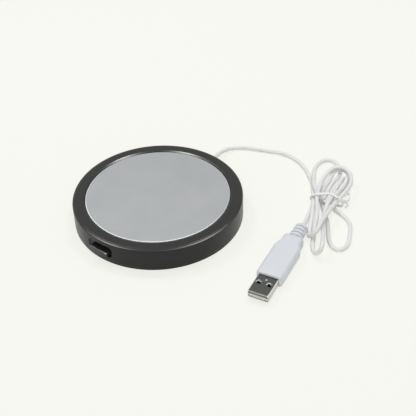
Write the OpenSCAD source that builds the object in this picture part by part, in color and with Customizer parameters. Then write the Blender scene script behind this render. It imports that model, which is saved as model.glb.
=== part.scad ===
// Electric mug warmer: a low round casing with an aluminium warming plate in its top,
// a slide switch in the front of its wall and a lead with a plug that leaves it at the rear.
// The origin is the middle of the casing, at the height of the surface that it stands on.
// +X is to the right of the switch, -Y is the side of the switch, +Z is up. Lengths are in millimetres.

/* [Casing] */
// Diameter of the casing
body_d = 100; // [99:0.5:101]
// Height of the casing without its feet
body_h = 14.7; // [14.7:0.1:15.5]
// Thickness of the side wall
wall_t = 1.8; // [1.6:0.1:1.8]
// Radius of the rounded edge around the top
edge_r = 1.2; // [0.8:0.1:1.6]
// Height of the base cover's rim that shows below the wall
base_rim_h = 1.2; // [1.0:0.1:1.2]
// Diameter of the opening above the warming plate
opening_d = 85.6; // [85:0.2:86.2]
// Width of the shallow bevel around that opening
bevel_w = 2; // [1.4:0.2:2.4]
// Height of that bevel
bevel_h = 0.3; // [0.2:0.1:0.4]
// How far the plate lies below the rim
plate_recess = 0.4; // [0.3:0.1:0.7]
// Diameter of a foot pad
foot_d = 9; // [8:0.5:10]
// How far a foot pad stands below the casing
foot_h = 0.8; // [0.6:0.1:1.0]
// Distance of the foot pads from the middle
foot_ring_r = 34; // [32:0.5:35]

/* [Switch] */
// Length of the recess around the switch
recess_l = 17; // [17:0.5:18]
// Height of the recess around the switch
recess_h = 7; // [6.6:0.1:7.2]
// Height of the middle of that recess above the casing's bottom
recess_mid = 7.4; // [7.3:0.1:7.5]
// Radius of the corners of that recess
recess_r = 2.4; // [1.6:0.2:2.4]
// How far the recess is off the middle of the switch
recess_x = 0.7; // [0.5:0.1:0.7]
// Length of the slider that the finger moves
knob_l = 13.2; // [12.2:0.2:13.2]
// Height of that slider
knob_h = 2.9; // [2.8:0.1:3.2]
// How far the slider stands out of the wall
knob_reach = 1.9; // [1.6:0.1:2.2]
// How far the slider travels from one end to the other
switch_travel = 2; // [1.6:0.2:2]

/* [Cord and plug] */
// Diameter of the cord
cord_d = 2.6; // [2.4:0.1:2.8]
// Angle at which the cord leaves, counted from +X towards +Y
exit_deg = 95; // [94:1:96]
// How far the cord's gland stands out of the wall
gland_reach = 2; // [1.6:0.1:2.4]
// Length of the plug's metal shell outside its grip
shell_l = 14.5; // [13:0.5:15]
// Width of the plug's grip
grip_w = 15.4; // [15:0.2:16.2]
// Height of the plug's grip
grip_h = 7.6; // [7.5:0.1:8.4]
// Length of the plug's grip
grip_l = 36; // [34:0.5:38]
// Length of the ribbed sleeve behind the grip
relief_l = 12; // [10:0.5:12]

/* [Hidden] */
$fn = 96;
fine = 180;
eps = 0.01;

// Colours
black_plastic = [0.19, 0.19, 0.19];
white_plastic = [0.86, 0.87, 0.88];
cord_white = [0.86, 0.86, 0.85];
plate_metal = [0.70, 0.71, 0.72];
steel = [0.62, 0.62, 0.63];
brass = [0.80, 0.66, 0.34];

// Casing, from the bottom up
body_r = body_d / 2;
wall_in_r = body_r - wall_t;
body_bottom = foot_h;
body_top = foot_h + body_h;
split_z = body_bottom + base_rim_h;
base_floor_z = body_bottom + 2;
spigot_r = wall_in_r - 0.3;
spigot_in_r = spigot_r - 1.3;
spigot_top = base_floor_z + 1.5;
boss_foot_z = base_floor_z + 1.8;

// Stack of the warming plate, from the top down
opening_r = opening_d / 2;
plate_top = body_top - plate_recess;
plate_face_r = opening_r - 0.3;
lip_z = body_top - 2.2;
seal_t = 0.6;
flange_top = lip_z - seal_t;
flange_t = 1.4;
plate_bottom = flange_top - flange_t;
shelf_r = body_r - 5.4;
flange_r = shelf_r - 0.3;
track_t = 0.15;
film_t = 0.25;
film_r = 42.5;
film_bottom = plate_bottom - track_t - film_t;
pad_t = 1.5;
pad_r = shelf_r - 0.8;
shelf_z = film_bottom - pad_t;
clamp_t = 0.9;
clamp_r = wall_in_r - 0.3;
clamp_bottom = shelf_z - clamp_t;

// Screws of the base cover
base_screw_r = body_r - 5.6;
base_screw_angles = [45, 135, 225, 315];
boss_r = 2.6;
base_head_r = 2.2;
base_head_seat = body_bottom + 1.5;
base_thread_r = 1.25;
base_pilot_r = 1.1;
base_screw_tip = shelf_z - 1;
boss_top = shelf_z - 0.4;
rib_w = 3.6;
root_h = 0.5;

// Screws of the clamp plate
clamp_screw_r = body_r - 3.6;
clamp_screw_angles = [22.5, 112.5, 202.5, 292.5];
clamp_head_r = 1.6;
clamp_thread_r = 1;
clamp_pilot_r = 0.85;

// Switch, from the wall inwards along +Y
switch_z = body_bottom + 6.65;
knob_x = switch_travel / 2;
recess_z = body_bottom + recess_mid;
recess_back_y = -(body_r - 2.4);
block_back_y = -(body_r - 6);
block_front_y = -(wall_in_r + 0.3);
block_half_l = 11.5;
block_bottom = body_bottom + 2.6;
stem_half_l = 3;
stem_h = 2.6;
slot_gap = 0.2;
lever_w = 1.6;
can_half_l = 4.3;
can_h = 3.6;
can_wall = 0.3;
can_depth = 4.5;
can_back_y = block_back_y + can_depth;
ear_half_l = 9.6;
ear_screw_x = 7.2;
terminal_pitch = 2;

// Cord gland and clamp, along the line on which the cord leaves
exit_z = body_bottom + 5;
exit_reach = body_r + gland_reach;
cord_r = cord_d / 2;
gland_flange_r = 2.9;
gland_body_r = 2.3;
gland_wall_t = 1.0;
cord_clamp_r = 40;
cord_clamp_l = 15;
cord_clamp_w = 5;
cord_clamp_screw_x = 5;
inner_cord_end_r = 33;
low = cord_r;

// Plug: its own frame has +Y towards the cord and its origin where the shell meets the grip
plug_pos = [87.4, -8.3, 0];
plug_turn = 13.1;
shell_w = 12;
shell_h = 4.5;
shell_t = 0.3;
shell_in = 4;
plug_mid_z = grip_h / 2;
relief_r = 3.7;
relief_w = 8.4;
relief_end = grip_l + relief_l;

// A point on the line on which the cord leaves, r from the middle and x beside that line
function on_exit_line(r, x, z) =
    [r * cos(exit_deg) + x * sin(exit_deg), r * sin(exit_deg) - x * cos(exit_deg), z];

// A point of the plug's own frame, in the frame of the part
function on_plug(x, y, z) =
    [plug_pos[0] + x * cos(plug_turn) - y * sin(plug_turn),
     plug_pos[1] + x * sin(plug_turn) + y * cos(plug_turn), z];

// Free cord, from the gland to the bundle, round its two loose loops and on to the plug.
// low is the height of its middle where it lies on the table.
lead_route = [
    on_exit_line(exit_reach, 0, exit_z),
    on_exit_line(exit_reach + 3, 0, exit_z),
    [-5.5, 60, 5.5],
    [-7, 67, 4],
    [-7, 74, 2.5],
    [-4, 80, 1.5],
    [2.5, 84.5, low],
    [9.5, 87.5, low],
    [16.5, 90.5, low],
    [23.5, 93, low],
    [31, 93, low],
    [38.5, 91, low],
    [45, 87.5, low],
    [51.5, 82.5, low],
    [57, 77.5, low],
    [61.5, 71.5, 1.5],
    [64, 67.5, 3]];
loop_upper_route = [
    [66.5, 88.5, 3.5],
    [64, 95.5, 1.5],
    [60.5, 102, low],
    [56, 105, low],
    [51.5, 105.5, low],
    [48.5, 103, low],
    [47.5, 99, low],
    [48.5, 93, 1.5],
    [52, 86, 3],
    [56, 80, 4],
    [60.5, 74, 4.5],
    [64, 71, 4]];
loop_lower_route = [
    [86, 51, 1.5],
    [90.5, 44.5, 2],
    [95, 39.5, 1.5],
    [99, 36.5, 1.5],
    [103, 37.5, low],
    [104.5, 42, low],
    [103, 47, 1.5],
    [99.5, 53.5, 2],
    [95.5, 60, 1.5],
    [89.5, 64.5, 1.5],
    [82, 65.5, 1.5],
    [75.5, 68, 1.5]];
tail_route = [
    on_plug(0, relief_end, plug_mid_z),
    on_plug(0, relief_end + 2.5, plug_mid_z),
    [74.5, 45, 3],
    [72, 51.5, 1.5],
    [69.5, 58.5, low]];

// Middle and radius of the round stretches of the tied bundle, its first three in one lobe
hank_stations = [
    [67, 87.5, 9.4],
    [72, 85.5, 8.4],
    [72, 75, 9.2],
    [72, 68.5, 9.4],
    [78, 55.5, 7.8],
    [86.5, 40.5, 5.8],
    [94, 29.5, 5.5]];
hank_lobe = 3;
hank_h = 9.6;
tie_pos = [72, 68.8];
tie_turn = 18;
tie_w = 1;
tie_t = 0.5;

// Wires inside the casing
wire_r = 0.6;
core_x = 0.65;
heater_pad_in = [8, -2.7];
heater_pad_out = [4, 0];
cutout_pos = [0, -9];
wire_z = base_floor_z + 1.2;

// Points of a smooth curve through a route, each stretch cut into n
function curve_point(p, i, t) =
    let (a = p[max(i - 1, 0)], b = p[i], c = p[i + 1], d = p[min(i + 2, len(p) - 1)])
    0.5 * (2 * b + (c - a) * t + (2 * a - 5 * b + 4 * c - d) * t * t
        + (3 * b - a - 3 * c + d) * t * t * t);
function smooth_route(p, n) = concat(
    [for (i = [0 : len(p) - 2], k = [0 : n - 1]) curve_point(p, i, k / n)],
    [p[len(p) - 1]]);
// The same points, none of them lower than a cord that lies on the table
function laid(p) = [for (q = p) [q[0], q[1], max(q[2], low)]];
function unit(v) = v / norm(v);
function heading(p, i) = unit(p[min(i + 1, len(p) - 1)] - p[max(i - 1, 0)]);

// A round tube swept along points. beside is a direction that the route never follows.
module tube(points, r, beside = [0, 0, 1], sides = 8) {
    rings = [for (i = [0 : len(points) - 1])
        let (t = heading(points, i), u = unit(cross(t, beside)), v = cross(u, t))
        [for (k = [0 : sides - 1])
            points[i] + r * (cos(360 * k / sides) * u + sin(360 * k / sides) * v)]];
    last = len(points) - 1;
    skin = [for (i = [0 : last - 1], k = [0 : sides - 1])
        [i * sides + k, i * sides + (k + 1) % sides,
         (i + 1) * sides + (k + 1) % sides, (i + 1) * sides + k]];
    start_cap = [[for (k = [0 : sides - 1]) sides - 1 - k]];
    end_cap = [[for (k = [0 : sides - 1]) last * sides + k]];
    polyhedron([for (ring = rings) each ring], concat(skin, start_cap, end_cap));
}

module rounded_rect(w, h, r) {
    square([w - 2 * r, h], center = true);
    square([w, h - 2 * r], center = true);
    for (x = [-1, 1], y = [-1, 1])
        translate([x * (w / 2 - r), y * (h / 2 - r)]) circle(r, $fn = 32);
}

// Copies at a distance r from the middle, one at each angle
module around(r, angles) {
    for (a = angles)
        rotate(a) translate([r, 0, 0]) children();
}

// A frame on the line on which the cord leaves, with +Z along it and outwards
module along_exit(r) {
    rotate(exit_deg) translate([r, 0, exit_z]) rotate([0, 90, 0]) children();
}

// A frame in the middle of the switch, with +Z inwards
module along_switch(y, z = switch_z) {
    translate([0, y, z]) rotate([-90, 0, 0]) children();
}

module plug_frame() {
    translate(plug_pos) rotate(plug_turn) children();
}

module housing_profile() {
    difference() {
        union() {
            translate([wall_in_r, split_z]) square([wall_t, body_top - split_z]);
            translate([shelf_r, shelf_z]) square([body_r - shelf_r, body_top - shelf_z]);
            translate([opening_r, lip_z]) square([body_r - opening_r, body_top - lip_z]);
        }
        translate([body_r - edge_r, body_top - edge_r])
            difference() {
                square(edge_r + 1);
                circle(edge_r, $fn = 48);
            }
        polygon([[opening_r - bevel_w, body_top + bevel_h],
            [opening_r - bevel_w, body_top - 2 * bevel_h],
            [opening_r + 2 * bevel_w, body_top + bevel_h]]);
    }
}

module upper_housing() {
    color(black_plastic)
        difference() {
            union() {
                rotate_extrude($fn = fine) housing_profile();
                translate([-block_half_l, block_front_y, block_bottom]) {
                    cube([2 * block_half_l, block_back_y - block_front_y, boss_top - block_bottom]);
                    cube([2 * block_half_l, 3, shelf_z + root_h - block_bottom]);
                }
                around(base_screw_r, base_screw_angles)
                    translate([0, 0, boss_foot_z])
                        cylinder(r = boss_r, h = boss_top - boss_foot_z, $fn = 48);
                around(shelf_r + 0.2, base_screw_angles)
                    translate([0, -rib_w / 2, boss_foot_z])
                        cube([wall_in_r - shelf_r, rib_w, shelf_z + root_h - boss_foot_z]);
            }
            translate([recess_x, 0, 0]) along_switch(-body_r - 1, recess_z)
                linear_extrude(recess_back_y + body_r + 1) rounded_rect(recess_l, recess_h, recess_r);
            translate([-stem_half_l - knob_x - slot_gap, recess_back_y - 1,
                switch_z - stem_h / 2 - slot_gap])
                cube([2 * (stem_half_l + knob_x + slot_gap), block_back_y - recess_back_y + 2,
                    stem_h + 2 * slot_gap]);
            for (x = [-ear_screw_x, ear_screw_x])
                translate([x, 0, 0]) along_switch(block_back_y - 2.8) cylinder(r = 0.6, h = 3, $fn = 24);
            along_exit(wall_in_r - 2) cylinder(r = gland_body_r + 0.05, h = wall_t + 4, $fn = 48);
            around(base_screw_r, base_screw_angles)
                translate([0, 0, boss_foot_z - 1])
                    cylinder(r = base_pilot_r, h = base_screw_tip - boss_foot_z + 1.3, $fn = 32);
            around(clamp_screw_r, clamp_screw_angles)
                translate([0, 0, shelf_z - 1]) cylinder(r = clamp_pilot_r, h = 3.8, $fn = 24);
        }
}

module base_cover() {
    color(black_plastic)
        difference() {
            union() {
                translate([0, 0, body_bottom + 0.4])
                    cylinder(r = body_r, h = base_rim_h - 0.4, $fn = fine);
                translate([0, 0, body_bottom])
                    cylinder(r1 = body_r - 0.4, r2 = body_r, h = 0.4, $fn = fine);
                translate([0, 0, split_z - eps])
                    cylinder(r = spigot_r, h = base_floor_z - split_z + eps, $fn = fine);
                difference() {
                    translate([0, 0, base_floor_z - eps])
                        cylinder(r = spigot_r, h = spigot_top - base_floor_z, $fn = fine);
                    cylinder(r = spigot_in_r, h = body_h, $fn = fine);
                    translate([-block_half_l - 1, -body_r, base_floor_z])
                        cube([2 * block_half_l + 2, 12, body_h]);
                    rotate(exit_deg) translate([spigot_in_r - 2, -4, base_floor_z])
                        cube([6, 8, body_h]);
                }
                around(base_screw_r, base_screw_angles)
                    translate([0, 0, base_floor_z - eps])
                        cylinder(r = 3.2, h = boss_foot_z - base_floor_z, $fn = 48);
                rotate(exit_deg)
                    translate([cord_clamp_r - cord_clamp_w / 2, -cord_clamp_l / 2, base_floor_z - eps])
                        cube([cord_clamp_w, cord_clamp_l, exit_z - base_floor_z]);
            }
            around(foot_ring_r, [0, 90, 180, 270])
                translate([0, 0, body_bottom - 1])
                    cylinder(r = foot_d / 2 + 0.2, h = 2, $fn = 48);
            around(base_screw_r, base_screw_angles)
                translate([0, 0, body_bottom - 1]) {
                    cylinder(r = base_head_r + 0.2, h = base_head_seat - body_bottom + 1, $fn = 48);
                    cylinder(r = base_thread_r + 0.2, h = body_h, $fn = 32);
                }
            along_exit(cord_clamp_r - cord_clamp_w)
                cylinder(r = cord_r + 0.03, h = 2 * cord_clamp_w, $fn = 32);
            for (x = [-cord_clamp_screw_x, cord_clamp_screw_x])
                translate(on_exit_line(cord_clamp_r, x, base_floor_z))
                    cylinder(r = 0.8, h = body_h, $fn = 24);
        }
}

module foot_pad(angle) {
    color([0.12, 0.12, 0.12])
        around(foot_ring_r, [angle]) {
            translate([0, 0, 0.3]) cylinder(r = foot_d / 2, h = body_bottom + 0.7, $fn = 48);
            cylinder(r1 = foot_d / 2 - 0.3, r2 = foot_d / 2, h = 0.3 + eps, $fn = 48);
        }
}

module foot_pad_1() { foot_pad(0); }
module foot_pad_2() { foot_pad(90); }
module foot_pad_3() { foot_pad(180); }
module foot_pad_4() { foot_pad(270); }

// A round-headed screw with its head's underside at the origin and its thread along +Z
module screw(head_r, head_h, thread_r, length) {
    difference() {
        translate([0, 0, -head_h]) cylinder(r = head_r, h = head_h, $fn = 40);
        for (a = [0, 90])
            rotate(a) translate([-head_r * 0.6, -0.25, -head_h - 1])
                cube([head_r * 1.2, 0.5, 1 + head_h * 0.45]);
    }
    cylinder(r = thread_r, h = length - thread_r * 0.7, $fn = 32);
    translate([0, 0, length - thread_r * 0.7 - eps])
        cylinder(r1 = thread_r, r2 = thread_r * 0.4, h = thread_r * 0.7, $fn = 32);
}

module base_screws() {
    color(steel)
        around(base_screw_r, base_screw_angles)
            translate([0, 0, base_head_seat])
                screw(base_head_r, 1.3, base_thread_r, base_screw_tip - base_head_seat);
}

module hot_plate() {
    color(plate_metal)
        rotate_extrude($fn = fine)
            difference() {
                union() {
                    translate([0, plate_bottom]) square([flange_r, flange_t]);
                    translate([0, plate_bottom]) square([plate_face_r, plate_top - plate_bottom]);
                }
                translate([plate_face_r - 0.35, plate_top - 0.35])
                    difference() {
                        square(1);
                        circle(0.35, $fn = 32);
                    }
            }
}

module plate_seal() {
    color([0.3, 0.3, 0.3])
        translate([0, 0, flange_top])
            difference() {
                cylinder(r = shelf_r - 0.1, h = seal_t, $fn = fine);
                translate([0, 0, -1]) cylinder(r = opening_r + 0.1, h = seal_t + 2, $fn = fine);
            }
}

module heater_film() {
    color([0.72, 0.42, 0.12])
        translate([0, 0, film_bottom]) cylinder(r = film_r, h = film_t, $fn = 96);
}

// A flat winding of open rings, joined in turn at the two sides of their gap
module heater_track() {
    rings = 11;
    first_r = 8;
    pitch = 3;
    track_w = 1.4;
    gap = 2;
    color([0.75, 0.62, 0.5])
        translate([0, 0, film_bottom + film_t])
            linear_extrude(track_t) {
                difference() {
                    for (i = [0 : rings - 1])
                        difference() {
                            circle(first_r + i * pitch + track_w / 2, $fn = 72);
                            circle(first_r + i * pitch - track_w / 2, $fn = 72);
                        }
                    translate([0, -gap]) square([body_r, 2 * gap]);
                }
                for (i = [0 : rings - 2])
                    translate([first_r + i * pitch - track_w / 2, i % 2 == 0 ? gap : -gap - track_w])
                        square([pitch + track_w, track_w]);
                translate([heater_pad_out[0] - 1.2, -track_w / 2])
                    square([first_r + (rings - 1) * pitch - heater_pad_out[0] + 1.2, track_w]);
                translate([first_r + (rings - 1) * pitch - track_w, -gap - track_w])
                    square([track_w, gap + track_w * 1.5]);
            }
}

module wire_window(z, h) {
    translate([4, -2, z]) linear_extrude(h) rounded_rect(15, 10, 2);
}

module insulation_pad() {
    color([0.86, 0.84, 0.78])
        difference() {
            translate([0, 0, shelf_z]) cylinder(r = pad_r, h = pad_t, $fn = 96);
            wire_window(shelf_z - 1, pad_t + 2);
            translate([cutout_pos[0], cutout_pos[1], shelf_z])
                cube([11.6, 5, 8], center = true);
        }
}

module clamp_plate() {
    color(steel)
        difference() {
            translate([0, 0, clamp_bottom]) cylinder(r = clamp_r, h = clamp_t, $fn = fine);
            wire_window(clamp_bottom - 1, clamp_t + 2);
            translate([cutout_pos[0], cutout_pos[1], clamp_bottom])
                cube([12, 3, 8], center = true);
            around(base_screw_r, base_screw_angles)
                translate([0, 0, clamp_bottom - 1]) {
                    cylinder(r = boss_r + 0.3, h = clamp_t + 2, $fn = 48);
                    translate([0, -boss_r - 0.3, 0]) cube([8, 2 * boss_r + 0.6, clamp_t + 2]);
                }
            translate([-block_half_l - 0.5, -body_r, clamp_bottom - 1])
                cube([2 * block_half_l + 1, body_r + block_back_y + 0.3, clamp_t + 2]);
            translate([-ear_half_l - 0.4, -body_r, clamp_bottom - 1])
                cube([2 * ear_half_l + 0.8, body_r + can_back_y + 1.5, clamp_t + 2]);
            rotate(exit_deg) translate([cord_clamp_r - cord_clamp_w / 2 - 0.5, -8.2, clamp_bottom - 1])
                cube([12, 16.4, clamp_t + 2]);
            around(clamp_screw_r, clamp_screw_angles)
                translate([0, 0, clamp_bottom - 1])
                    cylinder(r = clamp_thread_r + 0.1, h = clamp_t + 2, $fn = 24);
        }
}

module clamp_screws() {
    color(steel)
        around(clamp_screw_r, clamp_screw_angles)
            translate([0, 0, clamp_bottom]) screw(clamp_head_r, 1, clamp_thread_r, 3.4);
}

// A flat thermal cut-out that lies against the film in a window of the pad
module thermal_cutout() {
    color([0.2, 0.2, 0.22])
        translate([cutout_pos[0], cutout_pos[1], film_bottom - 0.7])
            cube([6, 3.4, 1.3], center = true);
    color(steel)
        for (x = [-1, 1])
            translate([cutout_pos[0] + x * 3.5, cutout_pos[1], film_bottom - 0.8])
                cube([1.2, 0.8, 0.3], center = true);
}

module switch_knob() {
    bar_front = body_r + knob_reach;
    bar_back = -recess_back_y + 0.25;
    color(black_plastic)
        difference() {
            union() {
                intersection() {
                    translate([knob_x, -bar_back, switch_z])
                        rotate([90, 0, 0])
                            linear_extrude(bar_front - bar_back + 1) rounded_rect(knob_l, knob_h, 0.7);
                    translate([0, 0, switch_z - knob_h])
                        cylinder(r = bar_front, h = 2 * knob_h, $fn = fine);
                }
                translate([knob_x - stem_half_l, -bar_back - 0.1, switch_z - stem_h / 2])
                    cube([2 * stem_half_l, bar_back + block_back_y - 0.2, stem_h]);
            }
            translate([knob_x - lever_w / 2 - 0.03, block_back_y - 2.8, switch_z - lever_w / 2 - 0.03])
                cube([lever_w + 0.06, 6, lever_w + 0.06]);
        }
}

module switch_lever() {
    color([0.9, 0.88, 0.82])
        union() {
            translate([knob_x - 2.2, block_back_y + 0.8, switch_z - 1.3]) cube([4.4, 1.5, 2.6]);
            translate([knob_x - lever_w / 2, block_back_y - 2.7, switch_z - lever_w / 2])
                cube([lever_w, 3.6, lever_w]);
        }
}

// The sprung bridge that joins two terminals
module switch_contact() {
    color(brass)
        translate([knob_x, block_back_y + 2.3, switch_z]) {
            translate([-1.9, 0, -1]) cube([3.8, 0.3, 2]);
            for (x = [-1, 1])
                translate([x * 1.4 - 0.4, 0, -0.7]) cube([0.8, 0.9, 1.4]);
        }
}

module switch_can() {
    color(steel)
        difference() {
            union() {
                translate([-ear_half_l, block_back_y, switch_z - can_h / 2])
                    cube([2 * ear_half_l, 0.5, can_h]);
                translate([-can_half_l, block_back_y, switch_z - can_h / 2])
                    cube([2 * can_half_l, can_depth, can_h]);
            }
            translate([-can_half_l + can_wall, block_back_y + 0.5, switch_z - can_h / 2 + can_wall])
                cube([2 * (can_half_l - can_wall), can_depth, can_h - 2 * can_wall]);
            translate([-knob_x - lever_w / 2 - slot_gap, block_back_y - 1, switch_z - lever_w / 2 - slot_gap])
                cube([2 * (knob_x + lever_w / 2 + slot_gap), 2, lever_w + 2 * slot_gap]);
            for (x = [-ear_screw_x, ear_screw_x])
                translate([x, 0, 0]) along_switch(block_back_y - 1) cylinder(r = 0.9, h = 3, $fn = 24);
        }
}

module switch_base() {
    color([0.45, 0.25, 0.12])
        difference() {
            translate([-can_half_l + can_wall, can_back_y - 1, switch_z - can_h / 2 + can_wall])
                cube([2 * (can_half_l - can_wall), 1.2, can_h - 2 * can_wall]);
            for (i = [-1, 0, 1])
                translate([i * terminal_pitch, can_back_y, switch_z]) cube([0.5, 6, 1], center = true);
        }
}

module switch_terminals() {
    color(brass)
        for (i = [-1, 0, 1])
            translate([i * terminal_pitch - 0.25, can_back_y - 1.1, switch_z - 0.5])
                cube([0.5, 5, 1]);
}

module switch_screws() {
    color(steel)
        for (x = [-ear_screw_x, ear_screw_x])
            translate([x, 0, 0]) along_switch(block_back_y + 0.5)
                mirror([0, 0, 1]) screw(1.3, 0.8, 0.7, 2.8);
}

module cord_gland() {
    color(cord_white)
        difference() {
            union() {
                along_exit(wall_in_r - gland_wall_t - 0.1)
                    cylinder(r = gland_flange_r, h = gland_wall_t, $fn = 48);
                along_exit(wall_in_r - 0.2) cylinder(r = gland_body_r, h = wall_t + 0.4, $fn = 48);
                along_exit(body_r) cylinder(r = gland_flange_r, h = gland_wall_t, $fn = 48);
                along_exit(body_r + gland_wall_t - eps)
                    cylinder(r1 = gland_flange_r - 0.5, r2 = cord_r + 0.6,
                        h = gland_reach - gland_wall_t, $fn = 48);
            }
            along_exit(wall_in_r - 3) cylinder(r = cord_r + 0.02, h = 12, $fn = 32);
        }
}

module inner_cord() {
    color(cord_white)
        along_exit(inner_cord_end_r)
            cylinder(r = cord_r, h = exit_reach - inner_cord_end_r, $fn = 32);
}

module cord_clamp() {
    color(steel)
        difference() {
            rotate(exit_deg)
                translate([cord_clamp_r - cord_clamp_w / 2, -cord_clamp_l / 2, exit_z + 0.2])
                    cube([cord_clamp_w, cord_clamp_l, 1.6]);
            along_exit(cord_clamp_r - cord_clamp_w)
                cylinder(r = cord_r + 0.03, h = 2 * cord_clamp_w, $fn = 32);
            for (x = [-cord_clamp_screw_x, cord_clamp_screw_x])
                translate(on_exit_line(cord_clamp_r, x, base_floor_z))
                    cylinder(r = 1.1, h = body_h, $fn = 24);
        }
}

module cord_clamp_screws() {
    color(steel)
        for (x = [-cord_clamp_screw_x, cord_clamp_screw_x])
            translate(on_exit_line(cord_clamp_r, x, exit_z + 1.8))
                mirror([0, 0, 1]) screw(1.7, 1, 0.95, 4);
}

// Wires: the supply to the switch, the switch to the cut-out, the cut-out to the
// winding, and the winding back to the cord
module wire_supply() {
    color([0.75, 0.1, 0.1])
        tube(smooth_route([
            on_exit_line(inner_cord_end_r, core_x, exit_z),
            on_exit_line(inner_cord_end_r - 5, core_x + 1, exit_z - 0.3),
            [4, 22, wire_z + 0.5],
            [15, 12, wire_z],
            [19.5, 0, wire_z],
            [17, -14, wire_z],
            [12, -24, wire_z + 0.2],
            [6, -30, wire_z + 1.5],
            [terminal_pitch, can_back_y + 6.3, switch_z - 0.4],
            [terminal_pitch, can_back_y + 4, switch_z]], 3), wire_r, beside = [0.05, 0.1, 1]);
}

module wire_switched() {
    color([0.75, 0.1, 0.1])
        tube(smooth_route([
            [0, can_back_y + 4, switch_z],
            [0, can_back_y + 6.3, switch_z - 0.4],
            [-5, -28, wire_z + 1.2],
            [-10, -20, wire_z],
            [-9, -12.5, wire_z + 0.6],
            [-5.5, -9.6, wire_z + 3],
            [cutout_pos[0] - 4.4, cutout_pos[1], film_bottom - 1.6]], 3),
            wire_r, beside = [1, -0.6, 0]);
}

module wire_heater() {
    color([0.85, 0.85, 0.8])
        tube(smooth_route([
            [cutout_pos[0] + 4.4, cutout_pos[1], film_bottom - 1.6],
            [6, -9, wire_z + 2.6],
            [8.6, -7.5, wire_z + 2.2],
            [8.8, -4.6, wire_z + 3],
            [heater_pad_in[0], heater_pad_in[1], film_bottom - 0.7]], 3),
            wire_r, beside = [1, 0.3, 0]);
}

module wire_return() {
    color([0.12, 0.12, 0.12])
        tube(smooth_route([
            on_exit_line(inner_cord_end_r, -core_x, exit_z),
            on_exit_line(inner_cord_end_r - 5, -core_x - 1.2, exit_z - 0.3),
            [-8, 21.5, wire_z],
            [-13, 12, wire_z],
            [-8, 3, wire_z + 0.6],
            [0, 0, wire_z + 2],
            [heater_pad_out[0] - 0.6, heater_pad_out[1], wire_z + 3.4],
            [heater_pad_out[0], heater_pad_out[1], film_bottom - 0.7]], 3),
            wire_r, beside = [1, 0.2, -0.8]);
}

module solder_joints() {
    color([0.75, 0.75, 0.77]) {
        for (p = [heater_pad_in, heater_pad_out])
            translate([p[0], p[1], film_bottom - 0.7])
                cylinder(r1 = 0.75, r2 = 1.1, h = 0.7, $fn = 24);
        for (x = [-1, 1])
            translate([cutout_pos[0] + x * 4.4, cutout_pos[1], film_bottom - 1.65])
                cylinder(r = 0.8, h = 0.7, $fn = 24);
        for (i = [0, 1])
            translate([i * terminal_pitch, can_back_y + 3.4, switch_z])
                rotate([-90, 0, 0]) cylinder(r1 = 0.8, r2 = 0.7, h = 0.8, $fn = 24);
    }
}

module cord_lead() {
    color(cord_white) tube(lead_route, cord_r);
}

module cord_loop_upper() {
    color(cord_white) tube(laid(smooth_route(loop_upper_route, 2)), cord_r);
}

module cord_loop_lower() {
    color(cord_white) tube(laid(smooth_route(loop_lower_route, 2)), cord_r);
}

module cord_tail() {
    color(cord_white) tube(laid(smooth_route(tail_route, 2)), cord_r);
}

module hank_circle(i) {
    translate([hank_stations[i][0], hank_stations[i][1]]) circle(hank_stations[i][2], $fn = 32);
}

module cord_hank() {
    color(cord_white)
        linear_extrude(hank_h) {
            hull()
                for (i = [0 : hank_lobe - 1])
                    hank_circle(i);
            for (i = [hank_lobe - 1 : len(hank_stations) - 2])
                hull() {
                    hank_circle(i);
                    hank_circle(i + 1);
                }
        }
}

module twist_tie() {
    loop_w = 20.2;
    loop_h = hank_h + 0.9;
    color([0.9, 0.9, 0.9])
        translate([tie_pos[0], tie_pos[1], 0])
            rotate(tie_turn) {
                translate([0, tie_w / 2, loop_h / 2 + 0.1])
                    rotate([90, 0, 0])
                        linear_extrude(tie_w)
                            difference() {
                                rounded_rect(loop_w, loop_h, 3.6);
                                rounded_rect(loop_w - 2 * tie_t, loop_h - 2 * tie_t, 3.1);
                            }
                for (turn = [-24, 32])
                    translate([loop_w / 2 - 0.3, 0, 5.4])
                        rotate([0, 80, turn]) cylinder(r = 0.5, h = 7, $fn = 16);
            }
}

module plug_grip() {
    shoulder_y = grip_l - 10;
    neck_y = grip_l - 5;
    neck_w = 6.2;
    color(white_plastic)
        plug_frame()
            difference() {
                intersection() {
                    linear_extrude(grip_h)
                        polygon([[-grip_w / 2 + 1, 0], [grip_w / 2 - 1, 0], [grip_w / 2, 1],
                            [grip_w / 2, shoulder_y], [neck_w, neck_y], [neck_w, grip_l - 1],
                            [neck_w - 1, grip_l], [-neck_w + 1, grip_l], [-neck_w, grip_l - 1],
                            [-neck_w, neck_y], [-grip_w / 2, shoulder_y], [-grip_w / 2, 1]]);
                    translate([0, grip_l + 1, plug_mid_z])
                        rotate([90, 0, 0]) linear_extrude(grip_l + 2) rounded_rect(grip_w, grip_h, 2.2);
                }
                translate([-shell_w / 2, -1, plug_mid_z - shell_h / 2])
                    cube([shell_w, shell_in + 1, shell_h]);
            }
}

module plug_relief() {
    ribs = 4;
    rib_pitch = relief_l / ribs;
    color(white_plastic)
        plug_frame()
            translate([0, grip_l, plug_mid_z])
                scale([relief_w / (2 * relief_r), 1, 1]) rotate([-90, 0, 0]) {
                    cylinder(r1 = relief_r - 0.7, r2 = relief_r - 1.2, h = relief_l, $fn = 40);
                    for (i = [0 : ribs - 1])
                        translate([0, 0, i * rib_pitch + 0.9])
                            cylinder(r1 = relief_r - 0.12 * i, r2 = relief_r - 0.12 * (i + 1),
                                h = rib_pitch - 0.9, $fn = 40);
                }
}

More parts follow.
